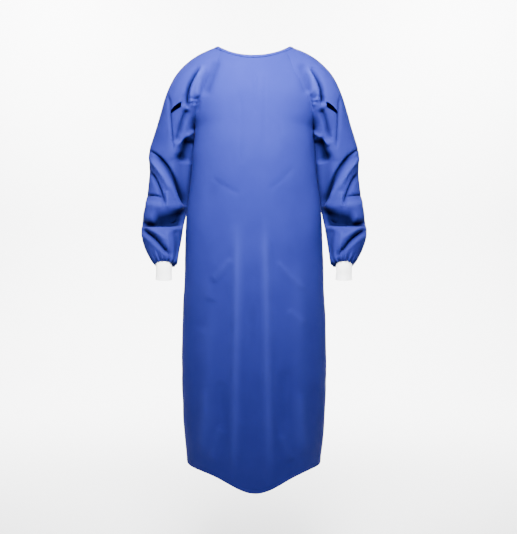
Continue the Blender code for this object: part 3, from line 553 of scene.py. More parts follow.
SMALL_FOLDS = (
    Fold(B, FRONT, R, (-0.004, -0.066), (-0.002, -0.120), (-0.004, -0.200), 0.0016, 0.0040),
    Fold(B, FRONT, L, (0.030, -0.070), (0.034, -0.160), (0.028, -0.290), 0.0014, 0.0060),
    Fold(B, FRONT, R, (0.040, -0.120), (0.034, -0.220), (0.040, -0.330), 0.0014, 0.0070),
    Fold(B, FRONT, R, (0.120, -0.360), (0.080, -0.400), (0.034, -0.410), 0.0014, 0.0070),
    Fold(B, FRONT, L, (0.118, -0.330), (0.076, -0.380), (0.040, -0.400), 0.0014, 0.0070),
    Fold(G, FRONT, R, (0.134, -0.046), (0.156, -0.090), (0.160, -0.146), -0.0065, 0.0090),
    Fold(G, FRONT, L, (0.142, -0.050), (0.164, -0.090), (0.168, -0.136), -0.0065, 0.0090),
    Fold(G, FRONT, R, (0.150, -0.052), (0.202, -0.112), (0.184, -0.174), 0.0070, 0.0030, 0.000, 1.3),
    Fold(G, FRONT, L, (0.158, -0.058), (0.204, -0.108), (0.188, -0.166), 0.0070, 0.0030, 0.000, 1.3),
    Fold(G, FRONT, R, (0.186, -0.144), (0.172, -0.142), (0.156, -0.150), 0.0035, 0.0035, 0.001, 1.4),
    Fold(G, FRONT, L, (0.188, -0.140), (0.174, -0.138), (0.160, -0.148), 0.0035, 0.0035, 0.001, 1.4),
    Fold(G, FRONT, R, (0.180, -0.158), (0.168, -0.153), (0.155, -0.160), 0.0035, 0.0032, 0.001, 1.4),
    Fold(G, FRONT, L, (0.182, -0.156), (0.170, -0.150), (0.158, -0.158), 0.0035, 0.0032, 0.001, 1.4),
    Fold(G, FRONT, R, (0.158, -0.137), (0.152, -0.155), (0.162, -0.185), 0.0040, 0.0042, 0.000, 1.5),
    Fold(G, FRONT, L, (0.160, -0.130), (0.158, -0.152), (0.168, -0.182), 0.0040, 0.0042, 0.000, 1.5),
    Fold(G, FRONT, R, (0.218, -0.280), (0.192, -0.246), (0.160, -0.234), -0.0050, 0.0050, 0.000, 1.3),
    Fold(G, FRONT, L, (0.212, -0.280), (0.188, -0.246), (0.158, -0.236), -0.0050, 0.0050, 0.000, 1.3),
    Fold(S, FRONT, R, (0.240, -0.130), (0.239, -0.190), (0.224, -0.300), 0.0070, 0.0036, 0.000, 1.3),
    Fold(S, FRONT, L, (0.241, -0.134), (0.242, -0.194), (0.230, -0.290), 0.0070, 0.0036, 0.000, 1.3),
    Fold(S, FRONT, R, (0.200, -0.132), (0.196, -0.148), (0.201, -0.168), 0.0035, 0.0036, 0.000, 1.4),
    Fold(S, FRONT, L, (0.196, -0.132), (0.194, -0.146), (0.202, -0.164), 0.0035, 0.0036, 0.000, 1.4),
    Fold(S, FRONT, R, (0.240, -0.192), (0.218, -0.166), (0.196, -0.160), -0.0030, 0.0050, 0.000, 1.6, 0.002),
    Fold(S, FRONT, L, (0.238, -0.186), (0.216, -0.164), (0.194, -0.158), -0.0030, 0.0050, 0.000, 1.6, 0.002),
    Fold(S, FRONT, R, (0.306, -0.284), (0.226, -0.320), (0.178, -0.464), 0.0070, 0.0034, 0.000, 1.3),
    Fold(S, FRONT, L, (0.306, -0.280), (0.228, -0.320), (0.180, -0.458), 0.0070, 0.0034, 0.000, 1.3),
    Fold(S, FRONT, R, (0.300, -0.340), (0.274, -0.370), (0.246, -0.446), 0.0050, 0.0032, 0.000, 1.3),
    Fold(S, FRONT, L, (0.300, -0.344), (0.272, -0.380), (0.248, -0.446), 0.0050, 0.0032, 0.000, 1.3),
    Fold(S, FRONT, R, (0.326, -0.500), (0.262, -0.490), (0.140, -0.500), 0.0080, 0.0036, 0.000, 1.3),
    Fold(S, FRONT, L, (0.326, -0.498), (0.262, -0.489), (0.140, -0.500), 0.0080, 0.0036, 0.000, 1.3),
    Fold(S, FRONT, R, (0.316, -0.510), (0.272, -0.538), (0.228, -0.588), 0.0070, 0.0034, 0.000, 1.3),
    Fold(S, FRONT, L, (0.316, -0.512), (0.270, -0.536), (0.228, -0.590), 0.0070, 0.0034, 0.000, 1.3),
    Fold(S, FRONT, R, (0.300, -0.300), (0.262, -0.345), (0.232, -0.410), -0.0040, 0.0070, 0.000, 1.5),
    Fold(S, FRONT, L, (0.302, -0.300), (0.262, -0.345), (0.236, -0.405), -0.0040, 0.0070, 0.000, 1.5),
    Fold(S, FRONT, R, (0.312, -0.418), (0.282, -0.412), (0.256, -0.422), 0.0065, 0.0034, 0.000, 1.3),
    Fold(S, FRONT, L, (0.314, -0.418), (0.284, -0.412), (0.258, -0.420), 0.0065, 0.0034, 0.000, 1.3),
    Fold(S, FRONT, R, (0.308, -0.440), (0.280, -0.440), (0.252, -0.446), -0.0050, 0.0120),
    Fold(S, FRONT, L, (0.308, -0.438), (0.280, -0.440), (0.254, -0.446), -0.0050, 0.0120),
    Fold(S, FRONT, R, (0.246, -0.402), (0.241, -0.425), (0.243, -0.455), -0.0045, 0.0055, 0.000, 1.3),
    Fold(S, FRONT, L, (0.248, -0.404), (0.243, -0.425), (0.246, -0.452), -0.0045, 0.0055, 0.000, 1.3),
    Fold(S, FRONT, R, (0.312, -0.500), (0.282, -0.512), (0.240, -0.545), -0.0045, 0.0060, 0.000, 1.4),
    Fold(S, FRONT, L, (0.312, -0.502), (0.282, -0.512), (0.242, -0.542), -0.0045, 0.0060, 0.000, 1.4),
    Fold(S, FRONT, R, (0.264, -0.501), (0.242, -0.497), (0.220, -0.503), 0.0022, 0.0034, 0.000, 1.4),
    Fold(S, FRONT, L, (0.266, -0.500), (0.244, -0.496), (0.224, -0.504), 0.0022, 0.0034, 0.000, 1.4),
    Fold(S, FRONT, R, (0.258, -0.513), (0.240, -0.508), (0.222, -0.512), 0.0020, 0.0034, 0.000, 1.4),
    Fold(S, FRONT, L, (0.256, -0.512), (0.240, -0.507), (0.224, -0.513), 0.0020, 0.0034, 0.000, 1.4),
    Fold(S, FRONT, R, (0.245, -0.515), (0.241, -0.545), (0.238, -0.580), -0.0035, 0.0060, 0.000, 1.3),
    Fold(S, FRONT, L, (0.247, -0.515), (0.243, -0.545), (0.240, -0.580), -0.0035, 0.0060, 0.000, 1.3),
    Fold(B, FRONT, R, (0.104, -0.300), (0.126, -0.400), (0.122, -0.560), 0.0025, 0.030, fade=0.5),
    Fold(B, FRONT, L, (0.118, -0.300), (0.138, -0.400), (0.132, -0.540), 0.0025, 0.028, fade=0.5),
    Fold(B, FRONT, L, (0.000, -0.560), (-0.004, -0.760), (-0.006, -1.000), 0.0030, 0.022, fade=0.5),
    Fold(B, FRONT, R, (0.060, -0.590), (0.086, -0.622), (0.118, -0.658), -0.0026, 0.009),
    Fold(B, FRONT, L, (0.064, -0.596), (0.094, -0.636), (0.146, -0.684), -0.0026, 0.009),
    Fold(B, FRONT, L, (0.094, -0.735), (0.116, -0.752), (0.144, -0.778), -0.0022, 0.010),
    Fold(B, FRONT, R, (0.120, -0.700), (0.132, -0.740), (0.150, -0.800), 0.0026, 0.018),
    Fold(B, FRONT, R, (0.094, -1.060), (0.106, -1.110), (0.120, -1.165), -0.0030, 0.011),
    Fold(B, FRONT, L, (0.072, -1.080), (0.090, -1.125), (0.108, -1.160), -0.0030, 0.011),
    Fold(B, FRONT, R, (0.136, -0.950), (0.134, -1.030), (0.146, -1.150), -0.0026, 0.012),
    Fold(B, FRONT, L, (0.124, -0.960), (0.136, -1.040), (0.138, -1.150), -0.0026, 0.012),
    Fold(B, FRONT, R, (0.094, -0.930), (0.088, -1.000), (0.084, -1.080), 0.0026, 0.014),
    Fold(B, FRONT, L, (0.086, -0.900), (0.084, -0.980), (0.096, -1.080), 0.0026, 0.014),
    Fold(B, BACK, R, (0.020, -0.120), (0.060, -0.170), (0.110, -0.300), 0.0035, 0.018),
    Fold(B, BACK, L, (0.060, -0.130), (0.096, -0.200), (0.116, -0.300), 0.0035, 0.018),
    Fold(B, BACK, L, (0.010, -0.560), (0.060, -0.590), (0.130, -0.620), 0.0030, 0.009, 0.001, 1.6),
    Fold(B, BACK, R, (0.020, -0.585), (0.070, -0.600), (0.120, -0.632), 0.0030, 0.008, 0.001, 1.6),
    Fold(B, BACK, L, (0.030, -0.690), (0.050, -0.820), (0.046, -1.000), -0.0045, 0.014),
    Fold(B, BACK, R, (0.036, -0.690), (0.030, -0.800), (0.044, -0.960), -0.0040, 0.013),
    Fold(S, BACK, R, (0.292, -0.250), (0.250, -0.280), (0.210, -0.330), -0.0050, 0.011, 0.000, 1.6),
    Fold(S, BACK, L, (0.290, -0.262), (0.250, -0.290), (0.214, -0.344), -0.0050, 0.011, 0.000, 1.6),
    Fold(S, BACK, R, (0.302, -0.420), (0.262, -0.432), (0.212, -0.460), 0.0060, 0.007, 0.002, 1.5),
    Fold(S, BACK, L, (0.304, -0.412), (0.266, -0.430), (0.214, -0.452), 0.0060, 0.007, 0.002, 1.5),
    Fold(S, BACK, R, (0.306, -0.465), (0.268, -0.470), (0.220, -0.480), -0.0045, 0.008, 0.000, 1.5),
    Fold(S, BACK, L, (0.306, -0.460), (0.268, -0.468), (0.222, -0.476), -0.0045, 0.008, 0.000, 1.5),
    Fold(S, BACK, R, (0.296, -0.560), (0.272, -0.572), (0.246, -0.600), 0.0040, 0.006, 0.000, 1.5),
    Fold(S, BACK, L, (0.298, -0.556), (0.274, -0.570), (0.248, -0.600), 0.0040, 0.006, 0.000, 1.5),
)


@dataclass(frozen=True)
class Relief:
    """Presses the folds into a smooth form.

    Attributes:
        eye_distance: how far in front of the gown the eye stands that front folds are placed from.
        eye_height: the height of that eye.
        facing_edge: how far cloth may turn away from a fold's side before the fold ends.
        facing_range: how soon it has its whole depth.
        steps: how many lengths a fold's line is divided into.
        ripple: height of the cloth's own soft unevenness.
        ripple_size: how far apart its rises lie.
    """

    folds: tuple[Fold, ...] = MAIN_FOLDS + SMALL_FOLDS
    eye_distance: float = 2.3
    eye_height: float = -0.616
    facing_edge: float = 0.1
    facing_range: float = 0.5
    steps: int = 14
    ripple: float = 0.0011
    ripple_size: float = 0.055

    def along(self, place: np.ndarray, line: np.ndarray) -> tuple[np.ndarray, np.ndarray]:
        """Where places lie beside a fold's line.

        Args:
            place: places across and up.
            line: the fold's points.

        Returns:
            Each place's signed distance from the line, and its share of the way along it.
        """
        best = np.full(len(place), np.inf)
        signed, share = np.zeros(len(place)), np.zeros(len(place))
        for i, (first, second) in enumerate(zip(line, line[1:])):
            way = second - first
            off = place - first
            t = np.clip(off @ way / (way @ way), 0, 1)
            away = off - t[:, None] * way
            distance = np.linalg.norm(away, axis=1)
            nearer = distance < best
            best = np.where(nearer, distance, best)
            turn = np.sign(way[0] * off[:, 1] - way[1] * off[:, 0])
            signed = np.where(nearer, distance * turn, signed)
            share = np.where(nearer, (i + t) / (len(line) - 1), share)
        return signed, share

    def shifts(self, points: np.ndarray, normals: np.ndarray, on: On, kept: np.ndarray) -> np.ndarray:
        """How the folds move each point.

        Args:
            points: a grid of smooth points.
            normals: their outward normals.
            on: what the cloth is part of.
            kept: the share of the folds that each point takes.

        Returns:
            For each point, how far it moves out, and how far it hangs down.
        """
        flat, facing = points.reshape(-1, 3), normals.reshape(-1, 3)
        near = self.eye_distance / (self.eye_distance + flat[:, 1])
        moved = np.zeros((len(flat), 2))
        for fold in self.folds:
            if fold.on not in (On.GOWN, on):
                continue
            if fold.view is View.FRONT:
                seen_z = self.eye_height + (flat[:, 2] - self.eye_height) * near
                place = np.stack([fold.side.value * flat[:, 0] * near, seen_z], 1)
            else:
                place = np.stack([fold.side.value * flat[:, 0], flat[:, 2]], 1)
            away, share = self.along(place, fold.line(self.steps))
            ends = ease(share / fold.fade) * ease((1 - share) / fold.fade)
            trough = fold.depth * np.exp(-(np.abs(away / fold.width) ** fold.sharp))
            lip_side = np.sign(fold.lip) if fold.lip else 0.0
            lip = abs(fold.lip) * np.exp(-(((away - lip_side * 2 * fold.width) / fold.width) ** 2))
            weight = ease((fold.view.value * facing[:, 1] + self.facing_edge) / self.facing_range) * ends
            if fold.on is On.SLEEVE:
                weight = weight * kept.ravel()
            moved[:, 0] += weight * (lip - trough)
            if fold.sag:
                over = np.exp(-(((away * np.sign(fold.start[0] - fold.end[0]) + fold.width) / fold.width) ** 2))
                moved[:, 1] += weight * fold.sag * over
        moved[:, 0] += self.unevenness(flat) * kept.ravel()
        return moved.reshape(points.shape[:-1] + (2,))

    def unevenness(self, flat: np.ndarray) -> np.ndarray:
        """The cloth's own soft rises and falls at each point."""
        scaled = flat / self.ripple_size
        return np.array([noise.noise(Vector(point)) for point in scaled]) * self.ripple


@dataclass
class ClothGrid:
    """A grid of cloth points, from which a mesh is made.

    Attributes:
        name: the piece's name.
        points: rows down the cloth and columns towards the wearer's left, or round a sleeve.
        closed: True where the last column joins the first.
    """

    name: str
    points: np.ndarray
    closed: bool = False

    def normals(self) -> np.ndarray:
        """Outward normals at the grid's points."""
        down = np.gradient(self.points, axis=0)
        if self.closed:
            across = (np.roll(self.points, -1, axis=1) - np.roll(self.points, 1, axis=1)) / 2
        else:
            across = np.gradient(self.points, axis=1)
        return unit(np.cross(down, across))

    def faces(self) -> list[list[int]]:
        """The grid's squares, wound so that they face out."""
        rows, columns = self.points.shape[:2]
        index = np.arange(rows * columns).reshape(rows, columns)
        if self.closed:
            index = np.concatenate([index, index[:, :1]], axis=1)
        a, b = index[:-1, :-1].ravel(), index[:-1, 1:].ravel()
        c, d = index[1:, 1:].ravel(), index[1:, :-1].ravel()
        return np.stack([a, d, c, b], 1).tolist()

    def marks(self, fold: Optional[np.ndarray] = None) -> dict[str, np.ndarray]:
        """What the finishes read at each point.

        Args:
            fold: how far each point was pressed in by folds.

        Returns:
            `cloth`, the lengths along the row and down the column with the fold's depth, and `edge`, the
            distances from the nearest side edge, from the bottom edge and from the top edge.
        """
        along, down = arc(self.points, 1), arc(self.points, 0)
        width, length = along[:, -1:], down[-1:, :]
        middle = width / 2
        pressed = np.zeros(along.shape) if fold is None else fold
        side = np.minimum(along, width - along)
        cloth = np.stack([along - middle, down, pressed], -1)
        return {"cloth": cloth, "edge": np.stack([side, length - down, down], -1)}

    def build(self, fold: Optional[np.ndarray] = None) -> bpy.types.Object:
        """Makes the grid's mesh object.

        Args:
            fold: how far each point was pressed in by folds.

        Returns:
            The object, with its marks as attributes.
        """
        obj = mesh_object(f"{self.name}_cloth", self.points.reshape(-1, 3), self.faces())
        for name, values in self.marks(fold).items():
            layer = obj.data.attributes.new(name, "FLOAT_VECTOR", "POINT")
            layer.data.foreach_set("vector", values.reshape(-1).astype(np.float32))
        return obj


def mesh_object(name: str, points: np.ndarray, faces: Sequence[Sequence[int]]) -> bpy.types.Object:
    """Makes a smooth-shaded mesh object.

    Args:
        name: the piece's name.
        points: its points.
        faces: the points of each face.

    Returns:
        The object, in the scene.
    """
    mesh = bpy.data.meshes.new(name)
    mesh.from_pydata(np.asarray(points).tolist(), [], faces)
    mesh.update()
    mesh.shade_smooth()
    obj = bpy.data.objects.new(name, mesh)
    bpy.context.scene.collection.objects.link(obj)
    return obj


def thicken(obj: bpy.types.Object, thickness: float) -> None:
    """Gives a sheet its thickness, inwards from its outer face."""
    shell = obj.modifiers.new("thickness", "SOLIDIFY")
    shell.thickness = thickness
    shell.offset = -1.0
    shell.use_rim = True
    shell.use_even_offset = False
    apply_modifiers(obj)


def apply_modifiers(obj: bpy.types.Object) -> None:
    """Makes what the object's modifiers give its own mesh, with its cut edges left crisp."""
    graph = bpy.context.evaluated_depsgraph_get()
    graph.update()
    solid = obj.evaluated_get(graph)
    mesh = bpy.data.meshes.new_from_object(solid, preserve_all_data_layers=True, depsgraph=graph)
    old = obj.data
    obj.modifiers.clear()
    obj.data = mesh
    mesh.set_sharp_from_angle(angle=float(np.radians(55)))
    bpy.data.meshes.remove(old)


def shared_normals(grids: dict[str, ClothGrid], reach: float = 0.00002) -> dict[str, np.ndarray]:
    """Every grid's outward normals, averaged where the edges of panels meet.

    Args:
        grids: the panels by name.
        reach: how close two points count as one.

    Returns:
        Each panel's normals.
    """
    own = {name: grid.normals() for name, grid in grids.items()}
    edges = {}
    for name, grid in grids.items():
        on_edge = np.ones(grid.points.shape[:2], bool)
        inner = slice(None) if grid.closed else slice(1, -1)
        on_edge[1:-1, inner] = False
        edges[name] = np.argwhere(on_edge)
    places = [(grids[name].points[tuple(at)], own[name][tuple(at)]) for name in grids for at in edges[name]]
    tree = KDTree(len(places))
    for index, (place, _) in enumerate(places):
        tree.insert(place, index)
    tree.balance()
    shared = {}
    for name, grid in grids.items():
        shared[name] = own[name].copy()
        for at in edges[name]:
            found = tree.find_range(grid.points[tuple(at)], reach)
            shared[name][tuple(at)] = unit(sum(places[index][1] for _, index, _ in found))
    return shared


class Wire:
    """A shader value that Python's operators work on; each adds a Math node."""

    def __init__(self, tree: bpy.types.NodeTree, socket: bpy.types.NodeSocket) -> None:
        """Keeps the socket and the tree that it is in."""
        self.tree = tree
        self.socket = socket

    def math(self, operation: str, *values: Union["Wire", float]) -> "Wire":
        """Adds a Math node.

        Args:
            operation: the node's operation.
            *values: its inputs in order.

        Returns:
            The node's value.
        """
        node = self.tree.nodes.new("ShaderNodeMath")
        node.operation = operation
        for socket, value in zip(node.inputs, values):
            if isinstance(value, Wire):
                self.tree.links.new(value.socket, socket)
            else:
                socket.default_value = value
        return Wire(self.tree, node.outputs[0])

    def __add__(self, other: Union["Wire", float]) -> "Wire":
        """This plus other."""
        return self.math("ADD", self, other)

    def __radd__(self, other: float) -> "Wire":
        """Other plus this."""
        return self.math("ADD", other, self)

    def __sub__(self, other: Union["Wire", float]) -> "Wire":
        """This minus other."""
        return self.math("SUBTRACT", self, other)

    def __rsub__(self, other: float) -> "Wire":
        """Other minus this."""
        return self.math("SUBTRACT", other, self)

    def __mul__(self, other: Union["Wire", float]) -> "Wire":
        """This times other."""
        return self.math("MULTIPLY", self, other)

    def __rmul__(self, other: float) -> "Wire":
        """Other times this."""
        return self.math("MULTIPLY", other, self)

    def __truediv__(self, other: Union["Wire", float]) -> "Wire":
        """This over other."""
        return self.math("DIVIDE", self, other)

    def __abs__(self) -> "Wire":
        """This without its sign."""
        return self.math("ABSOLUTE", self)

    def __lt__(self, other: Union["Wire", float]) -> "Wire":
        """1 where this is less than other, else 0."""
        return self.math("LESS_THAN", self, other)

    def sine(self) -> "Wire":
        """The sine of this."""
        return self.math("SINE", self)

    def part(self) -> "Wire":
        """What is left of this above the whole number below it."""
        return self.math("FRACT", self)

    def clamped(self) -> "Wire":
        """This kept between 0 and 1."""
        return self.math("MINIMUM", self.math("MAXIMUM", self, 0.0), 1.0)

    def band(self, middle: float, half_width: float) -> "Wire":
        """1 at `middle`, falling to 0 at `half_width` from it."""
        return (1.0 - abs(self - middle) / half_width).clamped()


class Finish:
    """Builds one material out of nodes."""

    def __init__(self, name: str) -> None:
        """Starts a material with a plain Principled shader."""
        self.material = bpy.data.materials.new(name)
        self.material.use_nodes = True
        self.tree = self.material.node_tree
        self.shader = self.tree.nodes["Principled BSDF"]

    def node(self, kind: str, settings: dict, sockets: dict, output: Union[int, str] = 0) -> Wire:
        """Adds any node.

        Args:
            kind: the node's type.
            settings: its properties, set first.
            sockets: a value or a wire for each of its inputs.
            output: the output to give back.

        Returns:
            That output.
        """
        node = self.tree.nodes.new(kind)
        for name, value in settings.items():
            setattr(node, name, value)
        for name, value in sockets.items():
            self.feed(node.inputs[name], value)
        return Wire(self.tree, node.outputs[output])

    def feed(self, socket: bpy.types.NodeSocket, value: Union[Wire, float, tuple]) -> None:
        """Links a wire to a socket, or sets its value."""
        if isinstance(value, Wire):
            self.tree.links.new(value.socket, socket)
        else:
            socket.default_value = value

    def parts(self, vector: Wire) -> tuple[Wire, Wire, Wire]:
        """A vector's three numbers."""
        node = self.tree.nodes.new("ShaderNodeSeparateXYZ")
        self.tree.links.new(vector.socket, node.inputs[0])
        return tuple(Wire(self.tree, output) for output in node.outputs)

    def mark(self, name: str) -> Wire:
        """A vector that the mesh carries."""
        return self.node("ShaderNodeAttribute", {"attribute_name": name}, {}, "Vector")

    def spots(self, scale: float, detail: float = 2.0, seed: float = 0.0) -> Wire:
        """Soft noise over the piece.

        Args:
            scale: how many rises fit in a metre.
            detail: how much finer noise it carries.
            seed: a place in the noise.

        Returns:
            Its value, about 0.5.
        """
        place = self.node("ShaderNodeTexCoord", {}, {}, "Object")
        sockets = {"Vector": place, "W": seed, "Scale": scale, "Detail": detail}
        return self.node("ShaderNodeTexNoise", {"noise_dimensions": "4D"}, sockets)

    def mix(self, share: Union[Wire, float], first: Union[Wire, Colour], second: Union[Wire, Colour]) -> Wire:
        """A colour between two, by a share from 0 to 1."""
        node = self.tree.nodes.new("ShaderNodeMix")
        node.data_type = "RGBA"
        self.feed(node.inputs["Factor"], share)
        self.feed(node.inputs[6], first)
        self.feed(node.inputs[7], second)
        return Wire(self.tree, node.outputs[2])

    def bump(self, height: Wire, distance: float, strength: float = 1.0) -> None:
        """Raises the surface by a height wire."""
        sockets = {"Height": height, "Distance": distance, "Strength": strength}
        self.feed(self.shader.inputs["Normal"], self.node("ShaderNodeBump", {}, sockets))

    def set(self, **values: Union[Wire, float, tuple]) -> None:
        """Sets or links the shader's sockets, named with _ for a space."""
        for name, value in values.items():
            self.feed(self.shader.inputs[name.replace("_", " ")], value)


@dataclass(frozen=True)
class ClothFinish:
    """Blue gown cloth: a close plain weave with a painted sheen on its ridges and painted shade in its folds,
    stitched at its edges.

    Attributes:
        colour: the cloth where it lies open.
        deep: painted shade for the cloth's folds, also the colour of its stitches and of its darker side edges.
        pale_tone_and_painted_sheen: the cloth's paler tone, for its random patches, and the painted sheen on its
            raised ridges.
        weave: the distance from one thread to the next.
        hem_line: how far above the bottom edge the hem is stitched, or 0 for none.
        seam_line: how far in from the side edges the seam is stitched, or 0 for none.
        stitch: the distance from one stitch to the next.
        roughness: of the cloth.
    """

    colour: Colour = (0.0084, 0.0104, 0.090, 1.0)
    deep: Colour = (0.0004, 0.0007, 0.010, 1.0)
    pale_tone_and_painted_sheen: Colour = (0.021, 0.027, 0.170, 1.0)
    weave: float = 0.0009
    hem_line: float = 0.0
    seam_line: float = 0.0
    stitch: float = 0.0034
    roughness: float = 0.84

    def material(self, name: str) -> bpy.types.Material:
        """Builds the material.

        Args:
            name: its name.

        Returns:
            The material.
        """
        finish = Finish(name)
        across, down, pressed = finish.parts(finish.mark("cloth"))
        side, bottom, _ = finish.parts(finish.mark("edge"))
        turn = 2 * np.pi / self.weave
        threads = (across * turn).sine() * (down * turn).sine()
        patches = finish.spots(9.0, 3.0)
        crumple = finish.spots(55.0, 4.0, 2.0)
        slack = finish.spots(7.0, 1.5, 8.0)
        # Painted sheen: cloth standing out on a ridge is mixed towards the paler colour, along with random patches
        # and the weave's tone.
        raised = (pressed * -110.0).clamped()
        colour = finish.mix((patches * 0.3 + threads * 0.05 + raised * 0.5).clamped(), self.colour, self.pale_tone_and_painted_sheen)
        # Painted shade: the cloth turns darker the deeper a fold presses it in.
        colour = finish.mix((pressed * 75.0 - 0.14).clamped() * 0.93, colour, self.deep)
        height = threads * 0.00006 + crumple * 0.0010 + slack * 0.012
        for line, away, along in ((self.hem_line, bottom, across), (self.seam_line, side, down)):
            if line:
                dash = (along / self.stitch).part() < 0.62
                thread = away.band(line, 0.0006) * dash
                colour = finish.mix(thread * 0.55, colour, self.deep)
                height = height + thread * 0.0004 - away.band(line, 0.0025) * 0.0004
        colour = finish.mix(side.band(0.0, 0.0016) * 0.15, colour, self.deep)
        finish.set(Base_Color=colour, Roughness=crumple * 0.16 + (self.roughness - 0.08))
        finish.set(Specular_IOR_Level=0.03, Specular_Tint=(0.40, 0.50, 1.0, 1.0))
        finish.bump(height, 1.0, 0.55)
        return finish.material


@dataclass(frozen=True)
class BandFinish:
    """The neck band: the same cloth folded over, stitched near its lower edge and joined at the centre.

    Attributes:
        colour: the band's cloth.
        deep: its stitches and join, and the painted shade along its outer lower edge.
        stitch_line: how far above the band's lower edge it is stitched.
        stitch: the distance from one stitch to the next.
        long_stitch: the same for the long stitches near the centre.
        long_reach: how far from the middle the long stitches go.
        join_at: where the join lies along the band, from its middle.
    """

    colour: Colour = (0.0075, 0.0093, 0.080, 1.0)
    deep: Colour = (0.001, 0.001, 0.012, 1.0)
    stitch_line: float = 0.0022
    stitch: float = 0.0046
    long_stitch: float = 0.0135
    long_reach: float = 0.042
    join_at: float = 0.003

    def material(self, name: str) -> bpy.types.Material:
        """Builds the material.

        Args:
            name: its name.

        Returns:
            The material.
        """
        finish = Finish(name)
        across, down, _ = finish.parts(finish.mark("cloth"))
        _, bottom, top = finish.parts(finish.mark("edge"))
        turn = 2 * np.pi / 0.0009
        threads = (across * turn).sine() * (down * turn).sine()
        crumple = finish.spots(90.0, 3.0, 4.0)
        dash = (across / self.stitch).part() < 0.6
        long_dash = ((across / self.long_stitch).part() < 0.62) * (abs(across) < self.long_reach)
        fine_thread = bottom.band(self.stitch_line, 0.0007) * dash * 0.5
        thread = (fine_thread + bottom.band(self.stitch_line, 0.0018) * long_dash).clamped()
        join = across.band(self.join_at, 0.0009)
        colour = finish.mix(crumple * 0.5, self.colour, (0.022, 0.029, 0.195, 1.0))
        colour = finish.mix((thread * 0.9 + join * 0.7).clamped(), colour, self.deep)
        # Painted shade: a dark line along the band's outer lower edge, where it meets the gown.
        colour = finish.mix(top.band(0.0, 0.0022) * 0.8, colour, self.deep)
        finish.set(Base_Color=colour, Roughness=crumple * 0.15 + 0.72)
        finish.set(Specular_IOR_Level=0.03, Specular_Tint=(0.40, 0.50, 1.0, 1.0))
        height = threads * 0.00006 + crumple * 0.0008 + thread * 0.0003 - join * 0.0006
        finish.bump(height, 1.0, 0.6)
        return finish.material


@dataclass(frozen=True)
class KnitFinish:
    """White rib knit: rows of small loops down each rib.

    Attributes:
        colour: the yarn.
        between: painted shade for the grooves between the ribs, also the faint darker pattern of the loops and
            fuzz.
        loop: the length of one loop.
        rib: the distance from one rib to the next.
    """

    colour: Colour = (0.97, 0.97, 0.965, 1.0)
    between: Colour = (0.89, 0.895, 0.91, 1.0)
    loop: float = 0.0011
    rib: float = 0.0024

    def material(self, name: str) -> bpy.types.Material:
        """Builds the material.

        Args:
            name: its name.

        Returns:
            The material.
        """
        finish = Finish(name)
        across, down, pressed = finish.parts(finish.mark("cloth"))
        turn = 2 * np.pi / self.rib
        slant = abs((across * turn).sine()) * 1.6
        loops = (down * (2 * np.pi / self.loop) + slant).sine() * 0.5 + 0.5
        fuzz = finish.spots(900.0, 2.0, 1.0)
        # Painted shade: the grooves between the ribs darken by their depth.
        colour = finish.mix((pressed * 1600.0).clamped() * 0.8, self.colour, self.between)
        colour = finish.mix((loops * 0.10 + fuzz * 0.08).clamped(), colour, self.between)
        finish.set(Base_Color=colour, Roughness=fuzz * 0.1 + 0.82)
        finish.set(Sheen_Weight=0.25, Sheen_Roughness=0.6, Specular_IOR_Level=0.2)
        finish.bump(loops * 0.00022 + fuzz * 0.0001, 1.0, 0.7)
        return finish.material


@dataclass
class Piece:
    """What every dressed piece shares: how it is finished, what it stands for and what it is cut from."""

    obj: bpy.types.Object
    nodes: tuple[str, ...]
    slot: str

    def dress(self, material: bpy.types.Material, flat: Place, held: str, area: Optional[float] = None) -> None:
        """Finishes the piece, hides the solids that it stands for, hangs it on the root and logs its size.

        Args:
            material: its finish.
            flat: the width and length of its cut.
            held: how it is held; not used.
            area: the cut's flat area where it isn't a rectangle; not used.
        """
        self.obj.data.materials.clear()
        self.obj.data.materials.append(material)
        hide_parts(*self.nodes)
        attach(self.obj, "root")
        LOG.info("%s: %d faces, cut %.2f x %.2f m", self.obj.name, len(self.obj.data.polygons), *flat)


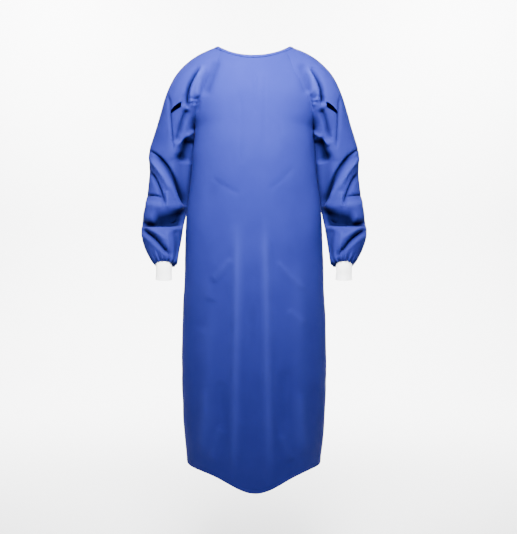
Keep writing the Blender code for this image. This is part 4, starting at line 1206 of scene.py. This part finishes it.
@dataclass
class Garment:
    """The gown's panels and sleeves, sampled finely and folded together so that their edges meet.

    Attributes:
        form: the smooth form.
        relief: the folds.
        fine: how many samples lie in one step of the solids' armhole.
        front_columns: columns of the front panel.
        back_columns: columns of each back panel.
        side_rows: rows from the underarm to the hem.
        sleeve_rows: rows down a sleeve.
        cloth: thickness of the cloth.
        hem_fold: how deep the turned hem is.
        hem_rise: how far the turned hem stands off.
        fold_start: the reach where a sleeve's folds have their whole depth.
        fold_end: how far above the cuff they start to run out.
    """

    form: GownForm = GownForm()
    relief: Relief = Relief()
    fine: int = 6
    front_columns: int = 120
    back_columns: int = 66
    side_rows: int = 200
    sleeve_rows: int = 236
    cloth: float = 0.0007
    hem_fold: float = 0.012
    hem_rise: float = 0.0005
    fold_start: float = 0.10
    fold_end: float = 0.035

    def smooth(self) -> dict[str, ClothGrid]:
        """The panels and sleeves before any fold, by name."""
        form = self.form
        seam_steps = np.linspace(0, form.seam_steps + 1, (form.seam_steps + 1) * self.fine + 1)
        sides = np.linspace(form.underarm, form.side_hem, self.side_rows + 1)[1:]
        front_levels = np.append(form.armhole_levels(form.front_top, seam_steps)[::-1], sides)[:, None]
        back_levels = np.append(form.armhole_levels(form.back_top, seam_steps)[::-1], sides)[:, None]
        across = np.linspace(-1, 1, self.front_columns + 1)
        grids = {"front_panel": ClothGrid("front_panel", form.front(across[None, :], front_levels))}
        seam = np.radians(column(RAGLAN_SEAM, "back_degrees", back_levels))
        share = np.linspace(0, 1, self.back_columns + 1)
        for side, lap in ((Side.LEFT, "over_degrees"), (Side.RIGHT, "under_degrees")):
            edge = -np.radians(column(BACK_LAP, lap, back_levels)) / seam
            place = edge + (1 - edge) * share
            points = form.back(side.value * place, back_levels)
            name = "back_panel_" + side.word
            grids[name] = ClothGrid(name, points[:, ::-1] if side is Side.LEFT else points)
        last = form.seam_steps + 1 + form.shoulder_steps
        steps = np.linspace(0, last, last * self.fine + 1)
        reaches = self.reaches()
        front = form.sleeve(Half.FRONT, steps, reaches)
        back = form.sleeve(Half.BACK, steps, reaches)
        ring = np.concatenate([front, back[:, -2:0:-1]], axis=1)
        grids["sleeve_left"] = ClothGrid("sleeve_left", ring, True)
        grids["sleeve_right"] = ClothGrid("sleeve_right", ring[:, ::-1] * (-1, 1, 1), True)
        return grids

    def reaches(self) -> np.ndarray:
        """How far down the sleeve each of its rows lies."""
        return np.linspace(0, self.form.arm_end, self.sleeve_rows + 1)

    def folded(self) -> tuple[dict[str, ClothGrid], dict[str, np.ndarray]]:
        """The panels and sleeves with their folds, and how far each point was pressed in."""
        grids = self.smooth()
        normals = shared_normals(grids)
        reaches = self.reaches()
        ends = ease(reaches / self.fold_start) * ease((self.form.arm_end - reaches) / self.fold_end)
        pressed = {}
        for name, grid in grids.items():
            sleeve = name.startswith("sleeve")
            kept = np.ones(grid.points.shape[:2]) * (ends[:, None] if sleeve else 1.0)
            shift = self.relief.shifts(grid.points, normals[name], On.SLEEVE if sleeve else On.BODY, kept)
            out = shift[..., 0]
            pressed[name] = -out
            if name == "back_panel_left":
                turn = np.arctan2(grid.points[..., 0], grid.points[..., 1])
                out = out + self.form.lap_lift(turn, grid.points[..., 2])
            if not sleeve:
                low = grid.marks()["edge"][..., 1]
                out = out + self.hem_rise * ease((self.hem_fold - low) / 0.0015)
            points = grid.points + normals[name] * out[..., None]
            points[..., 2] -= shift[..., 1]
            grids[name] = ClothGrid(grid.name, points, grid.closed)
        return grids, pressed


class MeshMarks:
    """The marks a mesh carries, kept while it is cut."""

    names: tuple[str, ...] = ("cloth", "edge")

    def __init__(self, mesh: bpy.types.Mesh) -> None:
        """Keeps the marks of a mesh."""
        self.tree = KDTree(len(mesh.vertices))
        for vertex in mesh.vertices:
            self.tree.insert(vertex.co, vertex.index)
        self.tree.balance()
        self.values = {}
        for name in self.names:
            values = np.zeros(len(mesh.vertices) * 3, np.float32)
            mesh.attributes[name].data.foreach_get("vector", values)
            self.values[name] = values.reshape(-1, 3)

    def restore(self, mesh: bpy.types.Mesh) -> None:
        """Writes each point's marks again, from the nearest point that was kept."""
        nearest = [self.tree.find(vertex.co)[1] for vertex in mesh.vertices]
        for name, values in self.values.items():
            mesh.attributes[name].data.foreach_set("vector", values[nearest].reshape(-1))


@dataclass
class Slit:
    """The slit on the front of each upper sleeve, cut right through.

    Attributes:
        corners: its corners from the inner end round, across and up.
        front: the depth where the cut starts.
        back: the depth where it ends.
    """

    corners: tuple[Place, ...] = (
        (0.1952, -0.1680), (0.2063, -0.1738), (0.2159, -0.1800), (0.2275, -0.1908),
        (0.2250, -0.1985), (0.2153, -0.1925), (0.2063, -0.1884), (0.1968, -0.1832),
    )
    front: float = -0.20
    back: float = 0.0

    def cut(self, obj: bpy.types.Object, side: Side) -> None:
        """Cuts the slit through a sleeve.

        Args:
            obj: the sleeve.
            side: the wearer's side that it is on.
        """
        corners = [(side.value * x, z) for x, z in self.corners]
        shape = bmesh.new()
        near = [shape.verts.new((x, self.front, z)) for x, z in corners]
        far = [shape.verts.new((x, self.back, z)) for x, z in corners]
        shape.faces.new(near)
        shape.faces.new(far[::-1])
        for i, vertex in enumerate(near):
            after = (i + 1) % len(near)
            shape.faces.new((near[after], vertex, far[i], far[after]))
        bmesh.ops.recalc_face_normals(shape, faces=shape.faces[:])
        mesh = bpy.data.meshes.new("slit_cutter")
        shape.to_mesh(mesh)
        shape.free()
        cutter = bpy.data.objects.new("slit_cutter", mesh)
        bpy.context.scene.collection.objects.link(cutter)
        cut = obj.modifiers.new("slit", "BOOLEAN")
        cut.operation = "DIFFERENCE"
        cut.solver = "EXACT"
        cut.object = cutter
        before = MeshMarks(obj.data)
        apply_modifiers(obj)
        before.restore(obj.data)
        bpy.data.objects.remove(cutter)


@dataclass
class Cuff:
    """A ribbed knitted cuff that hangs on from its sleeve's end.

    Attributes:
        form: the gown's form, whose sleeve it continues.
        side: the wearer's side that it is on.
        half_width: half its width seen from the front.
        half_depth: half its depth.
        length: how far it hangs.
        ribs: how many ribs go round.
        rib_samples: points across each rib.
        rib_depth: how high the ribs stand.
        rows: rows down the cuff.
        wall: thickness of the knit.
        roll: how far the rolled lower edge stands out.
        straighten: how far its lower end has turned towards hanging plumb.
    """

    form: GownForm
    side: Side
    half_width: float = 0.0222
    half_depth: float = 0.0238
    length: float = 0.041
    ribs: int = 60
    rib_samples: int = 6
    rib_depth: float = 0.00055
    rows: int = 26
    wall: float = 0.0012
    roll: float = 0.0007
    straighten: float = 1.25

    def build(self) -> Piece:
        """Builds the cuff's knit."""
        edge = self.form.arm(np.array([0.0, np.pi / 2, np.pi, 3 * np.pi / 2]), self.form.arm_end)
        middle = edge.mean(0)
        wide = unit(edge[0] - edge[2]) * self.half_width
        deep = unit(edge[1] - edge[3]) * self.half_depth
        axis = unit(np.cross(wide, deep))
        axis = -axis if axis[2] > 0 else axis
        turns = np.linspace(0, 2 * np.pi, self.ribs * self.rib_samples, endpoint=False)
        spoke = wide * np.cos(turns)[:, None] + deep * np.sin(turns)[:, None]
        rib = (0.5 + 0.5 * np.cos(self.ribs * turns)) ** 0.7
        share = np.linspace(0, 1, self.rows + 1)[:, None]
        waist = -0.0010 * np.sin(np.pi * share) ** 2
        rolled = self.roll * np.exp(-(((share - 0.96) / 0.035) ** 2))
        height = -0.004 + (self.length + 0.004) * share
        raised = self.rib_depth * (rib[None, :] - 1) + waist + rolled - 0.0006 * ease(0.12 - share)
        points = middle + axis * height[..., None] + spoke[None] + unit(spoke)[None] * raised[..., None]
        points = self.hung(points, middle, axis)
        points = points * (self.side.value, 1, 1)
        points = points[:, ::-1] if self.side is Side.LEFT else points
        name = "cuff_" + self.side.word
        grid = ClothGrid(name, points, True)
        if (grid.normals()[3, 0] @ (points[3, 0] - points[3].mean(0))) < 0:
            grid = ClothGrid(name, points[:, ::-1], True)
        hollow = self.rib_depth * (1 - rib) * np.ones(share.shape)
        obj = grid.build(hollow)
        thicken(obj, self.wall)
        return Piece(obj, (name,), "white_knit")

    def hung(self, points: np.ndarray, middle: np.ndarray, axis: np.ndarray) -> np.ndarray:
        """Bends the cuff from its sleeve's slant towards plumb.

        Args:
            points: the straight cuff's points.
            middle: the middle of the sleeve's end.
            axis: the way that the sleeve's end points.

        Returns:
            The bent points.
        """
        along = ((points - middle) @ axis)[..., None]
        beside = points - middle - along * axis
        plumb = np.array([0.0, 0.0, -1.0])
        full = np.arccos(np.clip(axis @ plumb, -1, 1)) * self.straighten
        hinge = unit(np.cross(axis, plumb))
        turn = full * ease(along / (0.7 * self.length))
        swung = beside * np.cos(turn) + np.cross(hinge, beside) * np.sin(turn)
        swung = swung + hinge * (beside @ hinge)[..., None] * (1 - np.cos(turn))
        mean = turn * 0.5
        way = axis * np.cos(mean) + np.cross(hinge, axis) * np.sin(mean)
        return middle + way * along + swung


@dataclass
class NeckBand:
    """The narrow band folded over the neckline.

    Attributes:
        width: how far it reaches down.
        off: how far it stands off the cloth.
        tip: how far its fold stands above the neckline.
        under: how far inside the cloth its inner side lies.
        wall: thickness of its cloth.
    """

    width: float = 0.0095
    off: float = 0.0014
    tip: float = 0.0016
    under: float = 0.0022
    wall: float = 0.0005

    def stations(self, grids: dict[str, ClothGrid], fine: int) -> tuple[np.ndarray, np.ndarray, np.ndarray]:
        """Places round the neckline from the over-lapping back edge.

        Args:
            grids: the folded panels and sleeves.
            fine: samples in one step of the armhole.

        Returns:
            The points, the ways down the cloth and the ways out of it.
        """
        shoulder = 3 * fine
        seam = 10 * fine
        edges, downs, outs = [], [], []
        for name in ("back_panel_left", "sleeve_left", "front_panel", "sleeve_right", "back_panel_right"):
            points, normals = grids[name].points[:2], grids[name].normals()[0]
            columns = np.arange(points.shape[1])
            if name == "sleeve_left":
                columns = np.arange(seam + 2 * shoulder, seam - 1, -1)
            elif name == "sleeve_right":
                count = points.shape[1]
                columns = np.arange(count - 1 - seam, count - 2 - seam - 2 * shoulder, -1)
            else:
                columns = columns[::-1]
            edge, below = points[0, columns], points[1, columns]
            down, out = unit(below - edge), normals[columns]
            edges.append(edge)
            downs.append(down)
            outs.append(unit(out - (out * down).sum(-1, keepdims=True) * down))
        edge, down, out = np.concatenate(edges), np.concatenate(downs), np.concatenate(outs)
        step = np.linalg.norm(np.diff(edge, axis=0), axis=1)
        keep = np.append(True, step > 0.0004)
        return edge[keep], self.eased(down[keep]), self.eased(out[keep])

    def eased(self, ways: np.ndarray) -> np.ndarray:
        """Directions evened out along the band."""
        for _ in range(6):
            padded = np.concatenate([ways[:1], ways, ways[-1:]])
            ways = unit(padded[:-2] + 2 * padded[1:-1] + padded[2:])
        return ways

    def build(self, grids: dict[str, ClothGrid], fine: int) -> Piece:
        """Builds the band.

        Args:
            grids: the folded panels and sleeves.
            fine: samples in one step of the armhole.

        Returns:
            The band.
        """
        edge, down, out = self.stations(grids, fine)
        above = unit(np.cross(np.gradient(edge, axis=0), out))
        section = [
            (self.width + 0.0006, 0.0002), (self.width, self.off * 0.8), (self.width * 0.8, self.off),
            (self.width * 0.5, self.off * 1.1), (self.width * 0.2, self.off), (0.0, self.off * 0.9),
            (-self.tip * 0.75, self.off * 0.55), (-self.tip, -0.0004), (-self.tip * 0.75, -self.under * 0.7),
            (0.0, -self.under), (self.width * 0.4, -self.under), (self.width * 0.9, -self.under),
        ]
        rows = [edge + (down if below > 0 else -above) * below + out * off for below, off in section]
        grid = ClothGrid("neck_binding", np.array(rows))
        if (grid.normals()[2, 50] @ out[50]) < 0:
            grid = ClothGrid("neck_binding", np.array(rows)[:, ::-1])
        obj = grid.build()
        thicken(obj, self.wall)
        return Piece(obj, ("neck_binding",), "blue_trim")


@dataclass
class Closures:
    """The neck tab, the two waist ties, their knot and its two hanging ends, all lying on the back.

    Attributes:
        form: the gown's form.
        tab_turns: where the tab starts and ends, round from the centre back.
        tab_top: the height of its top edge.
        width: the width of the tab and of the ties.
        tie_level: the height of the waist ties.
        tie_sewn: how far round they are sewn on.
        clear: how far they stand off the cloth.
        wall: the thickness of their cloth.
        knot_size: the knot's width, depth and height.
        knot_rise: how far the ties rise to meet it.
        knot_near: how close to it they rise.
    """

    form: GownForm
    tree: BVHTree
    tab_turns: Place = (float(np.radians(7)), float(np.radians(-32)))
    tab_top: float = -0.0235
    width: float = 0.024
    tie_level: float = -0.648
    tie_sewn: float = float(np.radians(66))
    clear: float = 0.0009
    wall: float = 0.0008
    knot_size: tuple[float, float, float] = (0.032, 0.013, 0.028)
    knot_rise: float = 0.0035
    knot_near: float = 0.022
    normal_step: float = 0.001
    probe_height: float = 0.04

    def lying_on(self, turn: np.ndarray, level: np.ndarray, spread: int) -> tuple[np.ndarray, np.ndarray]:
        """Points on the back's outer surface, smoothed over steps in it.

        Args:
            turn: radians round from the centre back.
            level: heights.
            spread: how many columns each point looks to either side for the highest cloth.

        Returns:
            The points and their outward normals.
        """
        seam = np.radians(column(RAGLAN_SEAM, "back_degrees", level))
        point = self.form.back(turn / seam, level)
        down = self.form.back(turn / seam, level - self.normal_step) - point
        across = self.form.back((turn - self.normal_step) / seam, level) - point
        normal = unit(np.cross(down, across))
        height = np.zeros(turn.shape)
        for place in np.ndindex(turn.shape):
            probe = point[place] + normal[place] * self.probe_height
            hit = self.tree.ray_cast(probe, -normal[place])[3]
            height[place] = self.probe_height - hit if hit else 0.0
        padded = np.pad(height, ((0, 0), (spread, spread)), mode="edge")
        count = height.shape[1]
        highest = np.max([padded[:, i : i + count] for i in range(2 * spread + 1)], axis=0)
        padded = np.pad(highest, ((0, 0), (spread, spread)), mode="edge")
        even = np.mean([padded[:, i : i + count] for i in range(2 * spread + 1)], axis=0)
        return point + normal * np.maximum(even, height)[..., None], normal

    def strip(self, name: str, turn: np.ndarray, level: np.ndarray, clear: np.ndarray, spread: int) -> Piece:
        """A strip of folded cloth that lies on the back.

        Args:
            name: its name.
            turn: radians round from the centre back.
            level: heights.
            clear: how far each point stands off.
            spread: how many columns each point looks to either side.

        Returns:
            The strip.
        """
        point, normal = self.lying_on(turn, level, spread)
        rows = np.linspace(-1, 1, turn.shape[0])[:, None]
        columns = np.linspace(-1, 1, turn.shape[1])[None, :]
        across = columns if turn.shape[0] > turn.shape[1] else rows
        crown = -0.0003 * np.abs(across) ** 6 * np.ones(turn.shape)
        points = point + normal * (clear + self.wall + crown)[..., None]
        grid = ClothGrid(name, points)
        if (grid.normals()[1, 1] @ normal[1, 1]) < 0:
            grid = ClothGrid(name, points[:, ::-1])
        obj = grid.build()
        thicken(obj, self.wall)
        return Piece(obj, (name,), "blue_trim")

    def tab(self) -> Piece:
        """Builds the tab across the neck opening."""
        turn, level = np.meshgrid(
            np.linspace(*self.tab_turns, 76), np.linspace(self.tab_top, self.tab_top - self.width, 15)
        )
        return self.strip("neck_tab", turn, level, np.full(turn.shape, self.clear), 3)

    def ties(self) -> list[Piece]:
        """Builds the two waist ties."""
        half_width = float(column(BODY_SECTIONS, "half_width", np.array(self.tie_level)))
        knot_turn = np.arcsin(self.knot_size[0] / 2 * 0.8 / half_width)
        pieces = []
        for side in (Side.LEFT, Side.RIGHT):
            turns = side.value * np.linspace(knot_turn, self.tie_sewn, 120)
            levels = self.tie_level + self.width / 2 * np.linspace(1, -1, 11)
            turn, level = np.meshgrid(turns, levels)
            beside = half_width * np.abs(np.sin(turn)) - self.knot_size[0] / 2
            near = ease(1 - beside / self.knot_near)
            level = self.tie_level + (level - self.tie_level) * (1 - 0.45 * near)
            wrinkle = 0.0007 * near * np.cos((level - self.tie_level) * 900)
            clear = self.clear + self.knot_rise * near + wrinkle
            pieces.append(self.strip("waist_tie_" + side.word, turn, level, clear, 3))
        return pieces

    def ends(self) -> list[Piece]:
        """Builds the two ends that hang from the knot."""
        pieces = []
        for side, start_x, end_x, length in ((Side.LEFT, 0.0078, 0.036, 0.25), (Side.RIGHT, -0.0078, -0.027, 0.28)):
            share = np.linspace(0, 1, 90)[:, None]
            top = self.tie_level - self.knot_size[2] / 2 + 0.004
            level = np.repeat(top - share * (length + 0.004), 9, axis=1)
            wide = 0.0138 + (self.width - 0.0138) * ease(share * length / 0.05)
            sway = 0.0016 * np.sin(share * 9 + start_x * 400)
            x = start_x + (end_x - start_x) * share + sway + wide / 2 * np.linspace(1, -1, 9)
            turn = np.arcsin(x / column(BODY_SECTIONS, "half_width", level))
            near = ease(1 - (top - level) / self.knot_near)
            pucker = 0.0012 * near * np.cos(np.linspace(-1, 1, 9) * 7)
            clear = self.clear + self.knot_rise * near + pucker
            clear = clear + 0.0012 * ease((share - 0.2) / 0.5) * (1 + np.sin(share * 14)) * np.ones((1, 9))
            pieces.append(self.strip("tie_end_" + side.word, turn, level, clear, 2))
        return pieces

    def knot(self) -> Piece:
        """Builds the wound knot of the waist ties."""
        body_half = float(column(BODY_SECTIONS, "half_width", np.array(self.tie_level)))
        half_turn = np.arcsin(self.knot_size[0] / 2 / body_half)
        high = self.knot_size[2] / 2
        turn, level = np.meshgrid([-half_turn, 0.0, half_turn], [self.tie_level + high, self.tie_level - high])
        out = self.lying_on(turn, level, 1)[0][..., 1].max() + self.clear + self.knot_size[1] / 2
        ring = np.linspace(0, 2 * np.pi, 72, endpoint=False)[None, :]
        rise = np.linspace(-np.pi / 2 + 0.02, np.pi / 2 - 0.02, 44)[:, None]

        def rounded(value: np.ndarray, power: float) -> np.ndarray:
            """The value drawn towards its ends."""
            return np.sign(value) * np.abs(value) ** power

        flare = rounded(np.cos(rise), 0.55)
        x = flare * rounded(np.cos(ring), 0.6)
        y = flare * rounded(np.sin(ring), 0.7)
        z = rounded(np.sin(rise), 0.7) * np.ones(ring.shape)
        wound = 0.10 * np.cos(9 * z + 5 * x) + 0.05 * np.cos(17 * z - 6 * x + 1)
        swell = 1 + (wound - 0.12) * (1 - np.abs(z) ** 6)
        half = np.array(self.knot_size) / 2
        points = np.stack([x * half[0] * swell, y * half[1] * swell, z * half[2] * (0.9 + 0.1 * np.cos(6 * x))], -1)
        points = points + (0, out, self.tie_level)
        grid = ClothGrid("waist_knot", points[::-1], True)
        if (grid.normals()[20, 10] @ (points[::-1][20, 10] - (0, out, self.tie_level))) < 0:
            grid = ClothGrid("waist_knot", points, True)
        obj = grid.build()
        return Piece(obj, ("waist_knot",), "blue_trim")


@dataclass
class Studio:
    """The floor, the light and the camera.

    Attributes:
        camera_at: where the camera stands, level.
        lens: its focal length in millimetres.
        floor_level: the height of the floor under the wearer's feet.
    """

    camera_at: tuple[float, float, float] = (0.0126, -2.3, -0.616)
    lens: float = 55.38
    floor_level: float = -1.45

    def build(self) -> None:
        """Makes the sweep, the lights, the sky and the camera."""
        self.sweep()
        self.light("key", (0.0, -1.10, 0.42), (0.0, -0.10, -0.10), 0.8, 0.30, 43.0, 80.0)
        self.light("top", (0.0, -0.85, 0.80), (0.0, -0.10, -0.30), 1.4, 0.30, 44.0)
        self.light("fill", (-0.5, -2.6, 1.3), (0.0, 0.0, -0.95), 1.4, 0.7, 27.0)
        self.light("back", (0.3, 2.4, 1.3), (0.0, 0.0, -0.60), 1.4, 0.9, 60.0)
        self.light("wall_left", (-1.9, 2.2, 1.6), (-0.8, 4.2, -0.4), 1.6, 2.4, 560.0)
        self.light("wall_right", (1.9, 2.2, 1.6), (0.8, 4.2, -0.4), 1.6, 2.4, 560.0)
        world = bpy.data.worlds.new("soft_sky")
        world.use_nodes = True
        world.node_tree.nodes["Background"].inputs["Color"].default_value = (0.93, 0.95, 1.0, 1.0)
        world.node_tree.nodes["Background"].inputs["Strength"].default_value = 0.25
        bpy.context.scene.world = world
        data = bpy.data.cameras.new("camera")
        data.sensor_fit = "VERTICAL"
        data.sensor_height = 36.0
        data.lens = self.lens
        camera = bpy.data.objects.new("camera", data)
        camera.location = self.camera_at
        camera.rotation_euler = (np.pi / 2, 0.0, 0.0)
        bpy.context.scene.collection.objects.link(camera)
        bpy.context.scene.camera = camera

    def sweep(self) -> None:
        """Makes the pale floor that curves up into a wall behind."""
        rows = []
        for share in np.linspace(0, 1, 25):
            turn = share * np.pi / 2
            rows.append((3.0 + 1.2 * np.sin(turn), self.floor_level + 1.2 * (1 - np.cos(turn))))
        rows = [(-4.5, self.floor_level)] + rows + [(4.2, 2.2)]
        points = np.array([[(x, y, z) for x in (-2.4, 2.4)] for y, z in rows])
        faces = ClothGrid("floor", points).faces()
        floor = mesh_object("floor", points.reshape(-1, 3), [face[::-1] for face in faces])
        finish = Finish("pale_floor")
        grain = finish.spots(3.0, 3.0, 6.0)
        finish.set(Base_Color=finish.mix(grain * 0.4, (0.93, 0.93, 0.93, 1.0), (0.90, 0.905, 0.91, 1.0)))
        finish.set(Roughness=grain * 0.1 + 0.75)
        floor.data.materials.append(finish.material)

    def light(
        self, name: str, at: tuple, to: tuple, wide: float, high: float, power: float, spread: float = 180.0
    ) -> None:
        """Adds a soft light.

        Args:
            name: its name.
            at: where it hangs.
            to: what it points at.
            wide: its width.
            high: its height.
            power: its power in watts.
            spread: the angle in degrees that its light fans out to.
        """
        data = bpy.data.lights.new(name, "AREA")
        data.shape = "RECTANGLE"
        data.size = wide
        data.size_y = high
        data.energy = power
        data.spread = np.radians(spread)
        lamp = bpy.data.objects.new(name, data)
        lamp.visible_camera = False
        lamp.location = at
        lamp.rotation_euler = (Vector(to) - Vector(at)).to_track_quat("-Z", "Y").to_euler()
        bpy.context.scene.collection.objects.link(lamp)


def surface_tree(objects: Sequence[bpy.types.Object]) -> BVHTree:
    """A search tree of the outer faces of several pieces."""
    points, faces = [], []
    for obj in objects:
        start = len(points)
        points += [vertex.co.copy() for vertex in obj.data.vertices]
        faces += [[start + index for index in face.vertices] for face in obj.data.polygons]
    return BVHTree.FromPolygons(points, faces)


def main() -> None:
    """Dresses the gown piece by piece."""
    logging.basicConfig(level=logging.INFO, format="%(name)s %(message)s")
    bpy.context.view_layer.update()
    Studio().build()
    garment = Garment()
    grids, pressed = garment.folded()
    panel = ClothFinish(hem_line=0.0115).material("gown_cloth")
    sleeve_cloth = ClothFinish().material("sleeve_cloth")
    trim = ClothFinish(seam_line=0.0022).material("tie_cloth")
    objects = {name: grid.build(pressed[name]) for name, grid in grids.items()}
    tree = surface_tree([objects["back_panel_left"], objects["back_panel_right"]])
    for name, obj in objects.items():
        thicken(obj, garment.cloth)
    cuts = {
        "front_panel": ((0.62, 1.19), 0.60),
        "back_panel_left": ((0.42, 1.17), 0.40),
        "back_panel_right": ((0.43, 1.17), 0.40),
    }
    for name, (flat, area) in cuts.items():
        Piece(objects[name], (name,), "blue_cloth").dress(panel, flat, "hung", area)
    for side in (Side.LEFT, Side.RIGHT):
        name = "sleeve_" + side.word
        Slit().cut(objects[name], side)
        nodes = ("sleeve_front_" + side.word, "sleeve_back_" + side.word)
        Piece(objects[name], nodes, "blue_cloth").dress(sleeve_cloth, (0.47, 0.76), "hung", 0.24)
        cuff = Cuff(garment.form, side)
        cuff.build().dress(KnitFinish().material("rib_knit_" + side.word), (0.144, 0.045), "stretched")
    NeckBand().build(grids, garment.fine).dress(BandFinish().material("neck_band"), (0.025, 0.62), "folded")
    closures = Closures(garment.form, tree)
    closures.tab().dress(trim, (0.107, 0.024), "laid")
    for piece in closures.ties():
        piece.dress(trim, (0.190, 0.024), "stretched")
    for piece, length in zip(closures.ends(), (0.25, 0.28)):
        piece.dress(trim, (0.024, length), "hung")
    knot = closures.knot()
    knot.obj.data.materials.append(trim)
    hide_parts("waist_knot")
    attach(knot.obj, "root")
    LOG.info("waist_knot: %d faces", len(knot.obj.data.polygons))
    bpy.context.view_layer.update()


if __name__ == "__main__":
    main()
